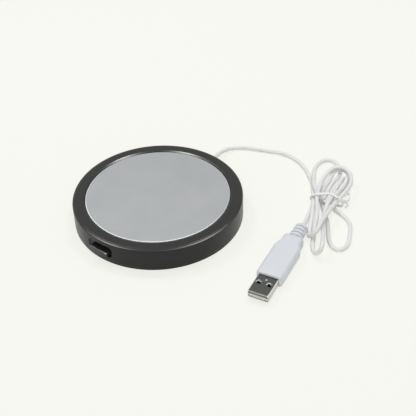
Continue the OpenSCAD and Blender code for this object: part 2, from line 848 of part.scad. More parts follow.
module plug_shell() {
    color(steel)
        plug_frame()
            difference() {
                translate([0, shell_in, plug_mid_z])
                    rotate([90, 0, 0]) linear_extrude(shell_l + shell_in) rounded_rect(shell_w, shell_h, 0.5);
                translate([0, shell_in + 1, plug_mid_z])
                    rotate([90, 0, 0])
                        linear_extrude(shell_l + shell_in + 2)
                            square([shell_w - 2 * shell_t, shell_h - 2 * shell_t], center = true);
                for (x = [-1, 1])
                    translate([x * 3.1, -6.5, plug_mid_z]) cube([2.5, 2, shell_h + 1], center = true);
            }
}

module plug_insulator() {
    tongue_h = 1.9;
    color([0.92, 0.92, 0.9])
        plug_frame()
            translate([-shell_w / 2 + shell_t, 0, plug_mid_z - shell_h / 2 + shell_t]) {
                translate([0, -shell_l + 0.6, 0]) cube([shell_w - 2 * shell_t, shell_l, tongue_h]);
                translate([0, -1, 0])
                    cube([shell_w - 2 * shell_t, shell_in + 0.8, shell_h - 2 * shell_t]);
            }
}

module plug_contacts() {
    color(brass)
        plug_frame()
            for (x = [-3.5, -1, 1, 3.5])
                translate([x - 0.5, abs(x) > 2 ? -shell_l + 1.6 : -shell_l + 2.6,
                    plug_mid_z - shell_h / 2 + shell_t + 1.9])
                    cube([1, (abs(x) > 2 ? shell_l - 2.8 : shell_l - 3.8), 0.15]);
}

upper_housing();
base_cover();
foot_pad_1();
foot_pad_2();
foot_pad_3();
foot_pad_4();
base_screws();
hot_plate();
plate_seal();
heater_film();
heater_track();
insulation_pad();
clamp_plate();
clamp_screws();
thermal_cutout();
switch_knob();
switch_lever();
switch_contact();
switch_can();
switch_base();
switch_terminals();
switch_screws();
cord_gland();
inner_cord();
cord_clamp();
cord_clamp_screws();
wire_supply();
wire_switched();
wire_heater();
wire_return();
solder_joints();
cord_lead();
cord_loop_upper();
cord_hank();
cord_loop_lower();
cord_tail();
twist_tie();
plug_grip();
plug_relief();
plug_shell();
plug_insulator();
plug_contacts();
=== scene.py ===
"""Electric mug warmer: the looks of its casing, plate, switch, cord, tie and plug.

Sizes in the dataclasses are in millimetres unless they say otherwise, and every finished mesh is in
metres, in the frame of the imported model: the middle of the casing at the height of the table, +Z
up, the switch at -Y.
"""

import logging
import math
from dataclasses import dataclass
from enum import Enum

import bmesh
import bpy
import numpy as np
from mathutils import Matrix


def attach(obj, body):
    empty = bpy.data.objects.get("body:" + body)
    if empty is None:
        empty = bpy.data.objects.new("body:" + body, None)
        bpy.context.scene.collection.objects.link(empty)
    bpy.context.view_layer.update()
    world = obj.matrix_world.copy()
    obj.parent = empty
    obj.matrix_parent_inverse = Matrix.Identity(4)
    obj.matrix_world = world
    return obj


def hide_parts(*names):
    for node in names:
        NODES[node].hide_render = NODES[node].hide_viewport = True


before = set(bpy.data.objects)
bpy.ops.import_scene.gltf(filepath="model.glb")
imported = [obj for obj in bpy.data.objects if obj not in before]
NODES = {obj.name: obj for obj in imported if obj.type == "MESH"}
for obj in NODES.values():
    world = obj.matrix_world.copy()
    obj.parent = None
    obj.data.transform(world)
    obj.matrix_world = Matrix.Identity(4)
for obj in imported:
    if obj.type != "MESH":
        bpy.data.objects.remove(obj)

LOG = logging.getLogger("mug_warmer")
MM = 0.001
MM_PER_METRE = 1000
QUARTER_TURN = math.pi / 2
UP = np.array([0.0, 0.0, 1.0])
# In metres: points nearer than the first are merged, edges shorter than the second dissolved.
MERGED = 2e-7
DISSOLVED = 1e-8
# Attribute in which a piece marks how much painted light each of its points carries, from 0 to 1.
PAINTED_LIGHT_ATTRIBUTE = "painted_light"

Triple = tuple[float, float, float]
Point = Triple


class Body(Enum):
    """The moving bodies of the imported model."""

    WARMER = "warmer"
    SLIDER = "switch_slider"


# ---------------------------------------------------------------- surfaces


@dataclass(frozen=True)
class Placing:
    """The frame of a sub-assembly: where its origin lies, in millimetres, and its turn about +Z."""

    origin: Point = (0.0, 0.0, 0.0)
    degrees: float = 0.0

    def points(self, local: np.ndarray) -> np.ndarray:
        """Carries points into the model's frame: origin + x * X + y * Y + z * Z."""
        c, s = math.cos(math.radians(self.degrees)), math.sin(math.radians(self.degrees))
        return np.array(self.origin) + local @ np.array([(c, s, 0), (-s, c, 0), (0, 0, 1)])


class Surface:
    """A skin gathered from grids of points, which becomes one mesh."""

    def __init__(self) -> None:
        """Starts with no points and no faces."""
        self._points: list[np.ndarray] = []
        self._quads: list[np.ndarray] = []
        self._painted_light: list[np.ndarray] = []
        self._count = 0

    def add(
        self,
        grid: np.ndarray,
        wrap_rows: bool = False,
        wrap_columns: bool = False,
        keep: np.ndarray | None = None,
        painted_light: np.ndarray | float = 0.0,
    ) -> "Surface":
        """Adds a grid, of which each cell becomes a face.

        Cell (i, j) joins the points (i, j), (i, j+1), (i+1, j+1) and (i+1, j) in that order.

        Args:
            grid: points of shape (rows, columns, 3), in millimetres.
            wrap_rows: joins the last row to the first.
            wrap_columns: joins the last column to the first.
            keep: which cells of the grid are made, shape (cells down, cells across).
            painted_light: how much painted light each point carries, shape (rows, columns) or one
                number.

        Returns:
            This surface, so that calls can be chained.
        """
        rows, columns = grid.shape[:2]
        index = np.arange(rows * columns).reshape(rows, columns)
        if wrap_rows:
            index = np.vstack([index, index[:1]])
        if wrap_columns:
            index = np.hstack([index, index[:, :1]])
        quads = np.stack([index[:-1, :-1], index[:-1, 1:], index[1:, 1:], index[1:, :-1]], axis=-1)
        if keep is not None:
            quads = quads[keep]
        self._points.append(grid.reshape(-1, 3))
        self._quads.append(quads.reshape(-1, 4) + self._count)
        self._painted_light.append(np.broadcast_to(painted_light, (rows, columns)).ravel())
        self._count += rows * columns
        return self

    def piece(
        self,
        name: str,
        placing: Placing = Placing(),
        crisp_deg: float = 35.0,
        outwards: bool = True,
    ) -> bpy.types.Object:
        """Makes the mesh and its object, which sits at the origin.

        Args:
            name: name of the piece.
            placing: frame that the points are in.
            crisp_deg: edges that turn more than this stay crisp, and the others are smooth.
            outwards: turns all faces of this closed skin outwards.

        Returns:
            The new object.
        """
        points = placing.points(np.concatenate(self._points)) * MM
        mesh = bpy.data.meshes.new(name)
        mesh.from_pydata(points, [], np.concatenate(self._quads).tolist())
        painted_light = np.concatenate(self._painted_light).astype(np.float32)
        if painted_light.any():
            mesh.attributes.new(PAINTED_LIGHT_ATTRIBUTE, "FLOAT", "POINT").data.foreach_set("value", painted_light)
        work = bmesh.new()
        work.from_mesh(mesh)
        bmesh.ops.remove_doubles(work, verts=work.verts, dist=MERGED)
        bmesh.ops.dissolve_degenerate(work, edges=work.edges, dist=DISSOLVED)
        if outwards:
            bmesh.ops.recalc_face_normals(work, faces=work.faces)
        work.to_mesh(mesh)
        work.free()
        mesh.shade_smooth()
        mesh.set_sharp_from_angle(angle=math.radians(crisp_deg))
        return linked(name, mesh)


def linked(name: str, data: bpy.types.ID) -> bpy.types.Object:
    """Puts a new object into the scene.

    Args:
        name: name of the object.
        data: its mesh, lamp or camera.

    Returns:
        The object.
    """
    made = bpy.data.objects.new(name, data)
    bpy.context.scene.collection.objects.link(made)
    return made


def unit(vectors: np.ndarray) -> np.ndarray:
    """Vectors of length 1 with the directions of these."""
    return vectors / np.linalg.norm(vectors, axis=-1, keepdims=True)


def run_along(line: np.ndarray) -> np.ndarray:
    """How far along a line each of its points lies, shape (n,)."""
    return np.concatenate([[0], np.cumsum(np.linalg.norm(np.diff(line, axis=0), axis=1))])


def full_turn(count: int) -> np.ndarray:
    """Angles that cut a full turn in equal parts, in radians."""
    return np.arange(count) * 2 * math.pi / count


def circle(radius: float, sides: int) -> np.ndarray:
    """Points of a circle, shape (sides, 2)."""
    a = full_turn(sides)
    return radius * np.stack([np.cos(a), np.sin(a)], axis=-1)


def rounded_corners(corners: list[Triple], steps: int) -> np.ndarray:
    """Rounds the corners of a closed outline.

    At each corner the arc touches both sides at radius * tan(turn / 2) from the corner, and its
    points are radius * (cos, sin) about the middle of that arc.

    Args:
        corners: x, y and radius of each corner; radius 0 leaves it sharp.
        steps: stretches in which each arc is cut.

    Returns:
        Points of the outline, shape (n, 2).
    """
    xy = np.array([c[:2] for c in corners], float)
    out = []
    for i, (_, _, radius) in enumerate(corners):
        here = xy[i]
        if radius <= 0:
            out.append(here[None])
            continue
        u, v = unit(xy[i - 1] - here), unit(xy[(i + 1) % len(xy)] - here)
        half = math.acos(float(np.clip(u @ v, -1, 1))) / 2
        middle = here + (u + v) / np.linalg.norm(u + v) * radius / math.sin(half)
        start, end = here + u * radius / math.tan(half), here + v * radius / math.tan(half)
        a, b = (start - middle) / radius, (end - middle) / radius
        turn = math.acos(float(np.clip(a @ b, -1, 1)))
        t = np.linspace(0, 1, steps + 1)[:, None]
        arc = (np.sin((1 - t) * turn) * a + np.sin(t * turn) * b) / math.sin(turn)
        out.append(middle + radius * arc)
    return np.concatenate(out)


def revolve(profile: np.ndarray, angles: np.ndarray) -> np.ndarray:
    """Turns a profile about +Z: each point (r, z) becomes (r cos a, r sin a, z)."""
    r, z = profile[:, :1], profile[:, 1:]
    return np.stack(np.broadcast_arrays(r * np.cos(angles), r * np.sin(angles), z), axis=-1)


def upright(outlines: np.ndarray, y: np.ndarray | float, lift: float = 0.0) -> np.ndarray:
    """Stands outlines (rows, columns, 2) up: each point (x, z) becomes (x, y, z + lift)."""
    return np.stack(np.broadcast_arrays(outlines[..., 0], y, outlines[..., 1] + lift), axis=-1)


def round_rect(
    width: np.ndarray | float,
    height: np.ndarray | float,
    radius: np.ndarray | float,
    corner_steps: int,
    side_steps: int,
) -> np.ndarray:
    """Rounded rectangles, one for each entry of the sizes.

    A corner's points are its arc's middle + radius * (cos, sin); a side's lie evenly between arcs.

    Args:
        width: widths, shape (rows,) or one number.
        height: heights, likewise.
        radius: corner radii, likewise.
        corner_steps: stretches of each corner's arc.
        side_steps: stretches of each side.

    Returns:
        Points of shape (rows, 4 * (corner_steps + side_steps), 2), against the clock.
    """
    sizes = np.broadcast_arrays(width, height, radius)
    w, h, r = (np.atleast_1d(np.asarray(v, float))[:, None, None] for v in sizes)
    angle = (np.arange(4)[:, None] + np.linspace(0, 1, corner_steps + 1)) * QUARTER_TURN
    sign_x, sign_y = np.array([(1, 1), (-1, 1), (-1, -1), (1, -1)]).T[..., None]
    x, y = sign_x * (w / 2 - r) + r * np.cos(angle), sign_y * (h / 2 - r) + r * np.sin(angle)
    arcs = np.stack([x, y], axis=-1)
    t = np.linspace(0, 1, side_steps + 1)[1:-1, None]
    ends, starts = arcs[:, :, -1:], np.roll(arcs, -1, axis=1)[:, :, :1]
    ring = np.concatenate([arcs, ends * (1 - t) + starts * t], axis=2).reshape(len(w), -1, 2)
    return np.roll(ring, -(corner_steps // 2), axis=1)


def smooth_path(points: list[Point], step: float, samples: int = 12) -> np.ndarray:
    """A natural cubic spline through points, at even steps.

    The stretch between two points is the cubic whose slope and bend go on from its neighbours',
    with no bend at the two ends; the bends solve one band of linear equations for all points.

    Args:
        points: points in order.
        step: distance between the new points, in millimetres.
        samples: how often the curve is first sampled, for each of the points.

    Returns:
        Points along the curve, shape (m, 3).
    """
    knots = np.array(points)
    n, at = len(knots), run_along(knots)
    gap = np.diff(at)
    slope = np.diff(knots, axis=0) / gap[:, None]
    band, inner, still = np.eye(n), np.arange(1, n - 1), np.zeros((1, 3))
    band[inner, inner - 1], band[inner, inner + 1] = gap[:-1], gap[1:]
    band[inner, inner] = 2 * (gap[:-1] + gap[1:])
    bend = np.linalg.solve(band, np.vstack([still, 6 * np.diff(slope, axis=0), still]))
    t = np.linspace(0, at[-1], samples * n)
    k = np.clip(np.searchsorted(at, t, side="right") - 1, 0, n - 2)
    h, a, b = gap[k][:, None], (at[k + 1] - t)[:, None], (t - at[k])[:, None]
    curve = (
        (bend[k] * a**3 + bend[k + 1] * b**3) / (6 * h)
        + (knots[k] / h - bend[k] * h / 6) * a
        + (knots[k + 1] / h - bend[k + 1] * h / 6) * b
    )
    along = run_along(curve)
    even = np.linspace(0, along[-1], max(int(round(along[-1] / step)), 2) + 1)
    return np.stack([np.interp(even, along, curve[:, i]) for i in range(3)], axis=1)


def eased(curve: np.ndarray, reach: float) -> np.ndarray:
    """Softens a line: each point becomes the bell-weighted mean of those within a few steps.

    Args:
        curve: evenly spaced points, shape (n, 3).
        reach: width of the bell, in steps; it is cut off at four times that.

    Returns:
        Points of the same number, with both ends where they were.
    """
    side = int(4 * reach)
    bell = np.exp(-0.5 * (np.arange(-side, side + 1) / reach) ** 2)
    bell /= bell.sum()
    before = 2 * curve[0] - curve[side:0:-1]
    after = 2 * curve[-1] - curve[-2 : -side - 2 : -1]
    padded = np.vstack([before, curve, after])
    return np.stack([np.convolve(padded[:, i], bell, "valid") for i in range(3)], axis=1)


def swept(path: np.ndarray, outline: np.ndarray, width_towards: np.ndarray) -> np.ndarray:
    """Carries an outline along a path.

    At each point the heading is the mean of its two stretches; the outline's second axis is the
    heading cross width_towards, and its first is that cross the heading.

    Args:
        path: points, shape (n, 3).
        outline: the outline at each point, shape (n, m, 2) or (m, 2).
        width_towards: a direction that the path never follows, shape (3,).

    Returns:
        A grid of shape (n, m, 3).
    """
    heading = unit(np.gradient(path, axis=0))
    second = unit(np.cross(heading, width_towards))
    first = np.cross(second, heading)
    return path[:, None] + outline[..., :1] * first[:, None] + outline[..., 1:] * second[:, None]


def closed_ends(grid: np.ndarray) -> np.ndarray:
    """Closes a grid: its first and last row are repeated, drawn together to their middles.

    Args:
        grid: points of shape (rows, columns, 3).

    Returns:
        A grid with two more rows.
    """
    first, last = grid[:1].mean(axis=1, keepdims=True), grid[-1:].mean(axis=1, keepdims=True)
    wide = (1, grid.shape[1], 1)
    return np.concatenate([np.tile(first, wide), grid, np.tile(last, wide)])


# ---------------------------------------------------------------- finishes


def linear(colour: str) -> tuple[float, float, float, float]:
    """Turns a hex colour in sRGB into linear red, green, blue and an alpha of 1."""
    parts = [int(colour[i : i + 2], 16) / 255 for i in (1, 3, 5)]
    return (*[c / 12.92 if c <= 0.04045 else ((c + 0.055) / 1.055) ** 2.4 for c in parts], 1.0)


def add_node(
    tree: bpy.types.NodeTree, kind: str, settings: dict[str, object] | None = None, **inputs: object
) -> bpy.types.Node:
    """Adds a node with its settings, its values and its links.

    Args:
        tree: node tree of a material or a world.
        kind: Blender's type name without "ShaderNode".
        settings: attributes of the node.
        **inputs: a value or an output socket for each named input; an underscore stands for a
            space, and a name such as in_0 means the input of that number.

    Returns:
        The new node.
    """
    node = tree.nodes.new("ShaderNode" + kind)
    for key, value in (settings or {}).items():
        setattr(node, key, value)
    for key, value in inputs.items():
        socket = node.inputs[int(key[3:]) if key.startswith("in_") else key.replace("_", " ")]
        if isinstance(value, bpy.types.NodeSocket):
            tree.links.new(value, socket)
        else:
            socket.default_value = value
    return node


class Grain(Enum):
    """How the fine relief of a finish is made."""

    FLECKED = "flecked"
    BRUSHED = "brushed"
    CELLS = "cells"


@dataclass(frozen=True)
class Finish:
    """What a surface is made of and how it was made.

    Attributes:
        name: the material's plain name.
        colour: its main colour, sRGB hex.
        second: the colour that it drifts to in places, sRGB hex.
        roughness: roughness of the cleanest places.
        wear: how much rougher the dullest places are.
        patch_mm: size of the drift in colour and roughness.
        grain: how the relief is made.
        grain_mm: size of one grain of the relief.
        depth_mm: height of the relief.
        metallic: 1 for a bare metal.
        ior: refractive index of a plastic, left alone on metals.
        stretch: how much longer a grain is than it is wide, along the piece's X.
        glow_through: share of light that wanders under the skin of a milky plastic.
        glow_mm: how far that light wanders.
        painted_light: colour of the painted highlights and lit patches that the piece marks, sRGB
            hex.
    """

    name: str
    colour: str
    second: str
    roughness: float
    wear: float = 0.08
    patch_mm: float = 9.0
    grain: Grain = Grain.FLECKED
    grain_mm: float = 0.25
    depth_mm: float = 0.01
    metallic: float = 0.0
    ior: float = 1.5
    stretch: float = 1.0
    glow_through: float = 0.0
    glow_mm: float = 0.8
    painted_light: str = ""

    def relief(self, tree: bpy.types.NodeTree, place: bpy.types.NodeSocket) -> bpy.types.NodeSocket:
        """The height of the fine relief.

        Args:
            tree: the material's node tree.
            place: where on the piece, in metres.

        Returns:
            A socket with the height from 0 to 1.
        """
        per_metre = MM_PER_METRE / self.grain_mm
        if self.grain is Grain.BRUSHED:
            drawn = add_node(tree, "Mapping", Vector=place, Scale=(1 / self.stretch, 1, 1))
            place = drawn.outputs["Vector"]
        if self.grain is Grain.CELLS:
            cells = add_node(tree, "TexVoronoi", {"feature": "F1"}, Vector=place, Scale=per_metre)
            return cells.outputs["Distance"]
        return add_node(
            tree, "TexNoise", Vector=place, Scale=per_metre, Detail=2.0, Roughness=0.6
        ).outputs["Fac"]

    def material(self) -> bpy.types.Material:
        """Makes the node material, or returns the one that was made before.

        The colours of a Mix node are its inputs 6 and 7 and its output 2.

        Returns:
            The material.
        """
        known = bpy.data.materials.get(self.name)
        if known:
            return known
        made = bpy.data.materials.new(self.name)
        made.use_nodes = True
        tree = made.node_tree
        tree.nodes.clear()
        place = add_node(tree, "TexCoord").outputs["Object"]
        patches = add_node(
            tree, "TexNoise", Vector=place, Scale=MM_PER_METRE / self.patch_mm,
            Detail=3.0, Roughness=0.55,
        ).outputs["Fac"]
        colour = add_node(
            tree, "Mix", {"data_type": "RGBA"},
            Factor=patches, in_6=linear(self.colour), in_7=linear(self.second),
        ).outputs[2]
        # Painted light: the places that the piece marks are mixed towards a bright colour.
        if self.painted_light:
            marks = add_node(tree, "Attribute", {"attribute_name": PAINTED_LIGHT_ATTRIBUTE}).outputs["Fac"]
            colour = add_node(
                tree, "Mix", {"data_type": "RGBA"},
                Factor=marks, in_6=colour, in_7=linear(self.painted_light),
            ).outputs[2]
        dull = add_node(
            tree, "MapRange", Value=patches, From_Min=0.3, From_Max=0.7,
            To_Min=self.roughness, To_Max=min(self.roughness + self.wear, 1.0),
        )
        relief = self.relief(tree, place)
        bump = add_node(tree, "Bump", Height=relief, Distance=self.depth_mm * MM, Strength=1.0)
        shader = add_node(
            tree, "BsdfPrincipled", Base_Color=colour, Roughness=dull.outputs["Result"],
            Normal=bump.outputs["Normal"], Metallic=self.metallic,
        )
        if not self.metallic:
            shader.inputs["IOR"].default_value = self.ior
        if self.glow_through:
            shader.inputs["Subsurface Weight"].default_value = self.glow_through
            shader.inputs["Subsurface Radius"].default_value = (1.0, 0.9, 0.8)
            shader.inputs["Subsurface Scale"].default_value = self.glow_mm * MM
        add_node(tree, "OutputMaterial", Surface=shader.outputs["BSDF"])
        return made

    def dress(self, *objects: bpy.types.Object) -> None:
        """Puts this finish on objects as their only material.

        Args:
            *objects: pieces or nodes.
        """
        for o in objects:
            o.data.materials.clear()
            o.data.materials.append(self.material())

    def dress_nodes(self, *names: str) -> None:
        """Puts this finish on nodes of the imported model, which keep their shapes."""
        self.dress(*[NODES[name] for name in names])


# Black ABS, injection moulded against a finely spark-eroded steel: a dull, even dark grey, with
# painted highlights on stretches of its outer edge and inner bevel, and painted light on the
# left end of the switch recess.
CASING_ABS = Finish(
    "black_moulded_abs", "#232324", "#1e1e1f", 0.3,
    grain_mm=0.3, depth_mm=0.003, ior=1.34, painted_light="#c2c2c2",
)
# The same plastic, moulded and then polished by the finger that pushes it; its upper front edge
# carries a painted highlight and its right corner a painted glint.
SWITCH_ABS = Finish(
    "black_switch_abs", "#272728", "#222223", 0.24,
    grain_mm=0.3, depth_mm=0.003, ior=1.42, painted_light="#b4b4b4",
)
# Aluminium sheet, blasted with fine beads and clear anodised: no streaks, a soft broad shine, and a
# painted highlight along the rim where its edge is turned.
PLATE_ALUMINIUM = Finish(
    "bead_blasted_aluminium", "#9d9ea2", "#989a9e", 0.6, wear=0.05, patch_mm=18,
    grain_mm=0.35, depth_mm=0.004, metallic=1.0, painted_light="#cbcdd0",
)
# Cast rubber with a matt, slightly dusty skin.
FOOT_RUBBER = Finish("black_rubber", "#262626", "#2e2d2c", 0.78, grain_mm=0.4, depth_mm=0.02)
# Extruded grey silicone, matt and a little greasy.
SEAL_SILICONE = Finish("grey_silicone", "#4a4b4c", "#545556", 0.6, grain_mm=0.5)
# Amber polyimide film, cast smooth and glossy.
HEATER_FILM = Finish("amber_polyimide_film", "#b86a1c", "#a85c14", 0.25, grain_mm=1.2, ior=1.7)
# Etched nickel alloy foil, faintly warm in colour.
TRACK_FOIL = Finish(
    "etched_nickel_foil", "#b9a68c", "#ab987e", 0.35, metallic=1.0, grain_mm=0.3, depth_mm=0.005
)
# Pressed mineral fibre, with loose short hairs.
PAD_FIBRE = Finish(
    "pressed_mineral_fibre", "#dbd6c6", "#cbc5b2", 0.92, patch_mm=3, grain_mm=0.5, depth_mm=0.12
)
# Cold-rolled steel, zinc plated: bluish, with faint rolling lines.
ZINC_STEEL = Finish(
    "zinc_plated_steel", "#a9adb0", "#9a9ea3", 0.3, metallic=1.0, grain=Grain.BRUSHED, stretch=14,
    grain_mm=0.15, depth_mm=0.004,
)
# Thin steel, folded to a tube and nickel plated: dull dark grey on its broad faces, partly its own
# colour and partly a painted dark reflection, with fine lines along it, and painted highlights
# along its bends, its mouth and the crest of its mark.
NICKEL_STEEL = Finish(
    "nickel_plated_steel", "#5c5d5d", "#525353", 0.2, metallic=1.0, grain=Grain.BRUSHED, stretch=14,
    grain_mm=0.12, depth_mm=0.002, painted_light="#f0f0ec",
)
# Punched brass, a little dulled by handling.
PUNCHED_BRASS = Finish(
    "punched_brass", "#d2ab5c", "#bd9548", 0.28, metallic=1.0, grain_mm=0.2, depth_mm=0.004
)
# Moulded dark thermoset, the case of the cut-out: matt.
CUTOUT_CASE = Finish("dark_thermoset", "#34343a", "#2c2c31", 0.5, grain_mm=0.3)
# Pressed phenolic board, brown with paper fibres in it.
PHENOLIC = Finish(
    "pressed_phenolic", "#734220", "#61361a", 0.55, patch_mm=1.5, grain_mm=0.4, depth_mm=0.02
)
# Moulded ivory acetal of the inner lever: slippery and a little waxy.
LEVER_ACETAL = Finish("ivory_acetal", "#e6dfcf", "#ddd5c2", 0.4, grain_mm=0.4, depth_mm=0.004)
# Tin solder, frozen bright with a finely crumpled skin.
TIN_SOLDER = Finish(
    "frozen_tin_solder", "#c4c6ca", "#aeb1b6", 0.25, metallic=1.0, grain=Grain.CELLS,
    grain_mm=0.4, depth_mm=0.02,
)
# Extruded PVC round the supply wires, satin.
WIRE_RED = Finish("red_wire_pvc", "#a8201c", "#981a17", 0.38, grain_mm=0.5, depth_mm=0.005)
WIRE_BLACK = Finish("black_wire_pvc", "#252525", "#1f1f1f", 0.38, grain_mm=0.5, depth_mm=0.005)
# Braided glass fibre round the heater's wire, matt.
WIRE_WHITE = Finish(
    "glass_sleeve_wire", "#dcdacd", "#cfccbd", 0.8, grain=Grain.CELLS, grain_mm=0.25, depth_mm=0.03
)
# Soft extruded PVC jacket: off-white, satin, with a faint orange-peel skin.
CORD_PVC = Finish(
    "white_cord_pvc", "#ebebeb", "#e4e4e3", 0.36, patch_mm=14,
    grain_mm=0.6, depth_mm=0.012, ior=1.53, glow_through=0.12,
)
# Extruded polyethylene ribbon with a wire in it: white and satin.
TIE_PLASTIC = Finish("white_tie_polythene", "#f4f4f4", "#eeeeee", 0.4, grain_mm=0.4, ior=1.51)
# White PVC, moulded over the plug and its sleeve: bluish white with a satin skin.
PLUG_PVC = Finish(
    "white_plug_pvc", "#dcdfe4", "#d8dbe0", 0.38, patch_mm=16,
    grain_mm=0.4, depth_mm=0.006, ior=1.53, glow_through=0.12,
)
# White glass-filled nylon, moulded as the inside of the plug, darkened with painted shade inside
# the shell behind its mouth.
PLUG_NYLON = Finish("white_plug_nylon", "#e4e3de", "#dad9d2", 0.5, grain_mm=0.3, depth_mm=0.006)
# Colour of the painted shade inside the plug's shell.
PAINTED_SHADE = "#1f1e1d"


# ---------------------------------------------------------------- pieces


def settle(
    piece: bpy.types.Object, body: Body, slot: str, finish: Finish, *nodes: str
) -> bpy.types.Object:
    """Lets a piece ride on a body, take a finish, and stand for CAD nodes, which it hides.

    Args:
        piece: the new piece.
        body: body that it rides on.
        slot: not used.
        finish: what it is made of.
        *nodes: CAD nodes that it stands for.

    Returns:
        The piece.
    """
    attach(piece, body.value)
    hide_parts(*nodes)
    finish.dress(piece)
    return piece


@dataclass
class Casing:
    """The upper housing with its wall, rim and switch recess, and the cover and feet below it.

    The recess is cut in a window of the wall, of which the grid of the turned skin leaves out the
    cells, and its rings have as many points as that window's border.
    """

    radius: float = 50.0
    top: float = 15.5
    split: float = 2.0
    wall: float = 1.8
    edge_width: float = 1.5
    edge_height: float = 1.1
    edge_break: tuple[float, float] = (0.45, 0.38)
    opening: float = 42.8
    bevel_width: float = 1.0
    bevel_height: float = 0.38
    lip: float = 13.3
    shelf_radius: float = 44.6
    shelf: float = 9.4
    foot_corner: float = 0.15
    edge_corners: Triple = (0.8, 0.5, 1.0)
    bevel_corners: tuple[float, float] = (0.5, 0.12)
    foot_steps: int = 3
    arc_steps: int = 10
    rest_columns: int = 211

    # Where the outer edge carries a painted highlight: from which radius to which, and the middles
    # and spreads of its painted highlights and of those on the inner bevel, in degrees from +X.
    edge_highlight_band: tuple[float, float] = (49.42, 49.86)
    edge_highlight_stretches: tuple[tuple[float, float], ...] = ((-82.0, 14.0), (-16.0, 17.0))
    bevel_highlight_stretches: tuple[tuple[float, float], ...] = ((108.0, 11.0), (162.0, 11.0))
    bevel_margin: float = 0.1

    recess_length: float = 17.0
    recess_offset: float = 0.7
    recess_height: float = 7.0
    recess_corner: float = 2.4
    recess_middle: float = 8.2
    recess_back: float = -47.6
    recess_lip: float = 0.6
    # Painted light on the sides of the recess towards its left end: how far it reaches, how strong.
    lit_end_width: float = 2.4
    lit_end_share: float = 0.35
    slot_length: float = 8.4
    slot_height: float = 3.0
    slot_corner: float = 0.3
    slot_back: float = -43.9
    switch_height: float = 7.45
    window_half: float = 12.0
    window_low: float = 3.6
    window_high: float = 12.8
    corner_steps: int = 8
    side_steps: int = 8
    blend_rings: int = 6
    lip_rings: int = 6

    # The block behind the recess, which stands further in than the wall.
    block_half: float = 11.7
    block_radius: float = 43.3
    block_bottom: float = 3.6

    @property
    def cells(self) -> int:
        """Cells across the window, and down it."""
        return self.corner_steps + self.side_steps

    def wall_profile(self) -> tuple[np.ndarray, int, int]:
        """The closed profile of the housing, from the bottom of the outer wall up and round.

        The point at the bottom of the block is there twice, so that one of the two can move in with
        the block and leaves a flat bottom.

        Returns:
            The points (r, z), and the first and the last row of the window.
        """
        inner = self.radius - self.wall
        window = np.linspace(self.window_low, self.window_high, self.cells + 1)
        foot = rounded_corners(
            [
                (inner, self.split, 0),
                (self.radius, self.split, self.foot_corner),
                (self.radius, self.window_low, 0),
            ],
            self.foot_steps,
        )[1:-1]
        low, broken, high = self.edge_corners
        upper = rounded_corners(
            [
                (self.radius, self.window_high, 0),
                (self.radius, self.top - self.edge_height, low),
                (self.radius - self.edge_break[0], self.top - self.edge_break[1], broken),
                (self.radius - self.edge_width, self.top, high),
                (self.opening + self.bevel_width, self.top, self.bevel_corners[0]),
                (self.opening, self.top - self.bevel_height, self.bevel_corners[1]),
                (self.opening, self.lip, 0),
                (self.shelf_radius, self.lip, 0),
                (self.shelf_radius, self.shelf, 0),
                (inner, self.shelf, 0),
                (inner, self.block_bottom, 0),
                (inner, self.block_bottom, 0),
                (inner, self.split, 0),
            ],
            self.arc_steps,
        )[1:]
        wall = np.stack([np.full(self.cells + 1, self.radius), window], axis=1)
        return np.concatenate([foot, wall, upper]), len(foot), len(foot) + self.cells

    def stations(self) -> np.ndarray:
        """Where the columns of the skin are: those of the window first, then the rest of the turn.

        Those of the window lie evenly in x, at arcsin(x / radius) from -Y.

        Returns:
            Angles from +X, shape (columns,).
        """
        across = np.linspace(-self.window_half, self.window_half, self.cells + 1)
        window = -math.pi / 2 + np.arcsin(across / self.radius)
        rest = np.linspace(window[-1], window[0] + 2 * math.pi, self.rest_columns)[1:-1]
        return np.concatenate([window, rest])

    def on_wall(self, outline: np.ndarray, depth: np.ndarray | float = 0.0) -> np.ndarray:
        """Lays outlines (x, z) on the wall, depth behind it: y = depth - sqrt(radius^2 - x^2)."""
        return upright(outline, depth - np.sqrt(self.radius**2 - outline[..., 0] ** 2))

    def painted_highlights(self, grid: np.ndarray) -> np.ndarray:
        """How much painted highlight each point of the turned skin carries.

        The outer edge carries it in the middle of its band, sin(pi * share across it), and both it
        and the inner bevel in stretches, exp(-(turn / spread)^2) about their middles.

        Args:
            grid: points of the skin, shape (rows, columns, 3).

        Returns:
            Numbers from 0 to 1, shape (rows, columns).
        """
        radius, z = np.hypot(grid[..., 0], grid[..., 1]), grid[..., 2]
        azimuth = np.degrees(np.arctan2(grid[..., 1], grid[..., 0]))

        def near(stretches: tuple[tuple[float, float], ...]) -> np.ndarray:
            """How near each point is to the middle of a stretch."""
            middles, spreads = np.array(stretches).T
            return np.exp(-(((azimuth[..., None] - middles) / spreads) ** 2)).sum(axis=-1)

        low, high = self.edge_highlight_band
        across = np.sin(math.pi * np.clip((radius - low) / (high - low), 0, 1))
        edge = across * (z > self.top - self.edge_height)
        bevel = z > self.top - self.bevel_height - self.bevel_margin
        bevel &= radius > self.opening - self.bevel_margin
        bevel &= radius < self.opening + self.bevel_width
        return np.clip(edge * near(self.edge_highlight_stretches) + bevel * near(self.bevel_highlight_stretches), 0, 1)

    def recess(self) -> np.ndarray:
        """The recess: rings from the window's border over the rounded lip to its floor and slot.

        The first rings blend evenly from the border to the outline of the lip, each of them
        border * (1 - share) + outline * share, and the lip is a quarter of a circle.

        Returns:
            A grid of points.
        """
        steps = (self.corner_steps, self.side_steps)

        def ring(grow: np.ndarray | float) -> np.ndarray:
            """Outlines of the recess.

            Args:
                grow: how far each is grown on all sides.

            Returns:
                Points (x, z), one row for each outline.
            """
            grow = np.atleast_1d(grow)
            length, height = self.recess_length + 2 * grow, self.recess_height + 2 * grow
            made = round_rect(length, height, self.recess_corner + grow, *steps)
            return made + [self.recess_offset, self.recess_middle]

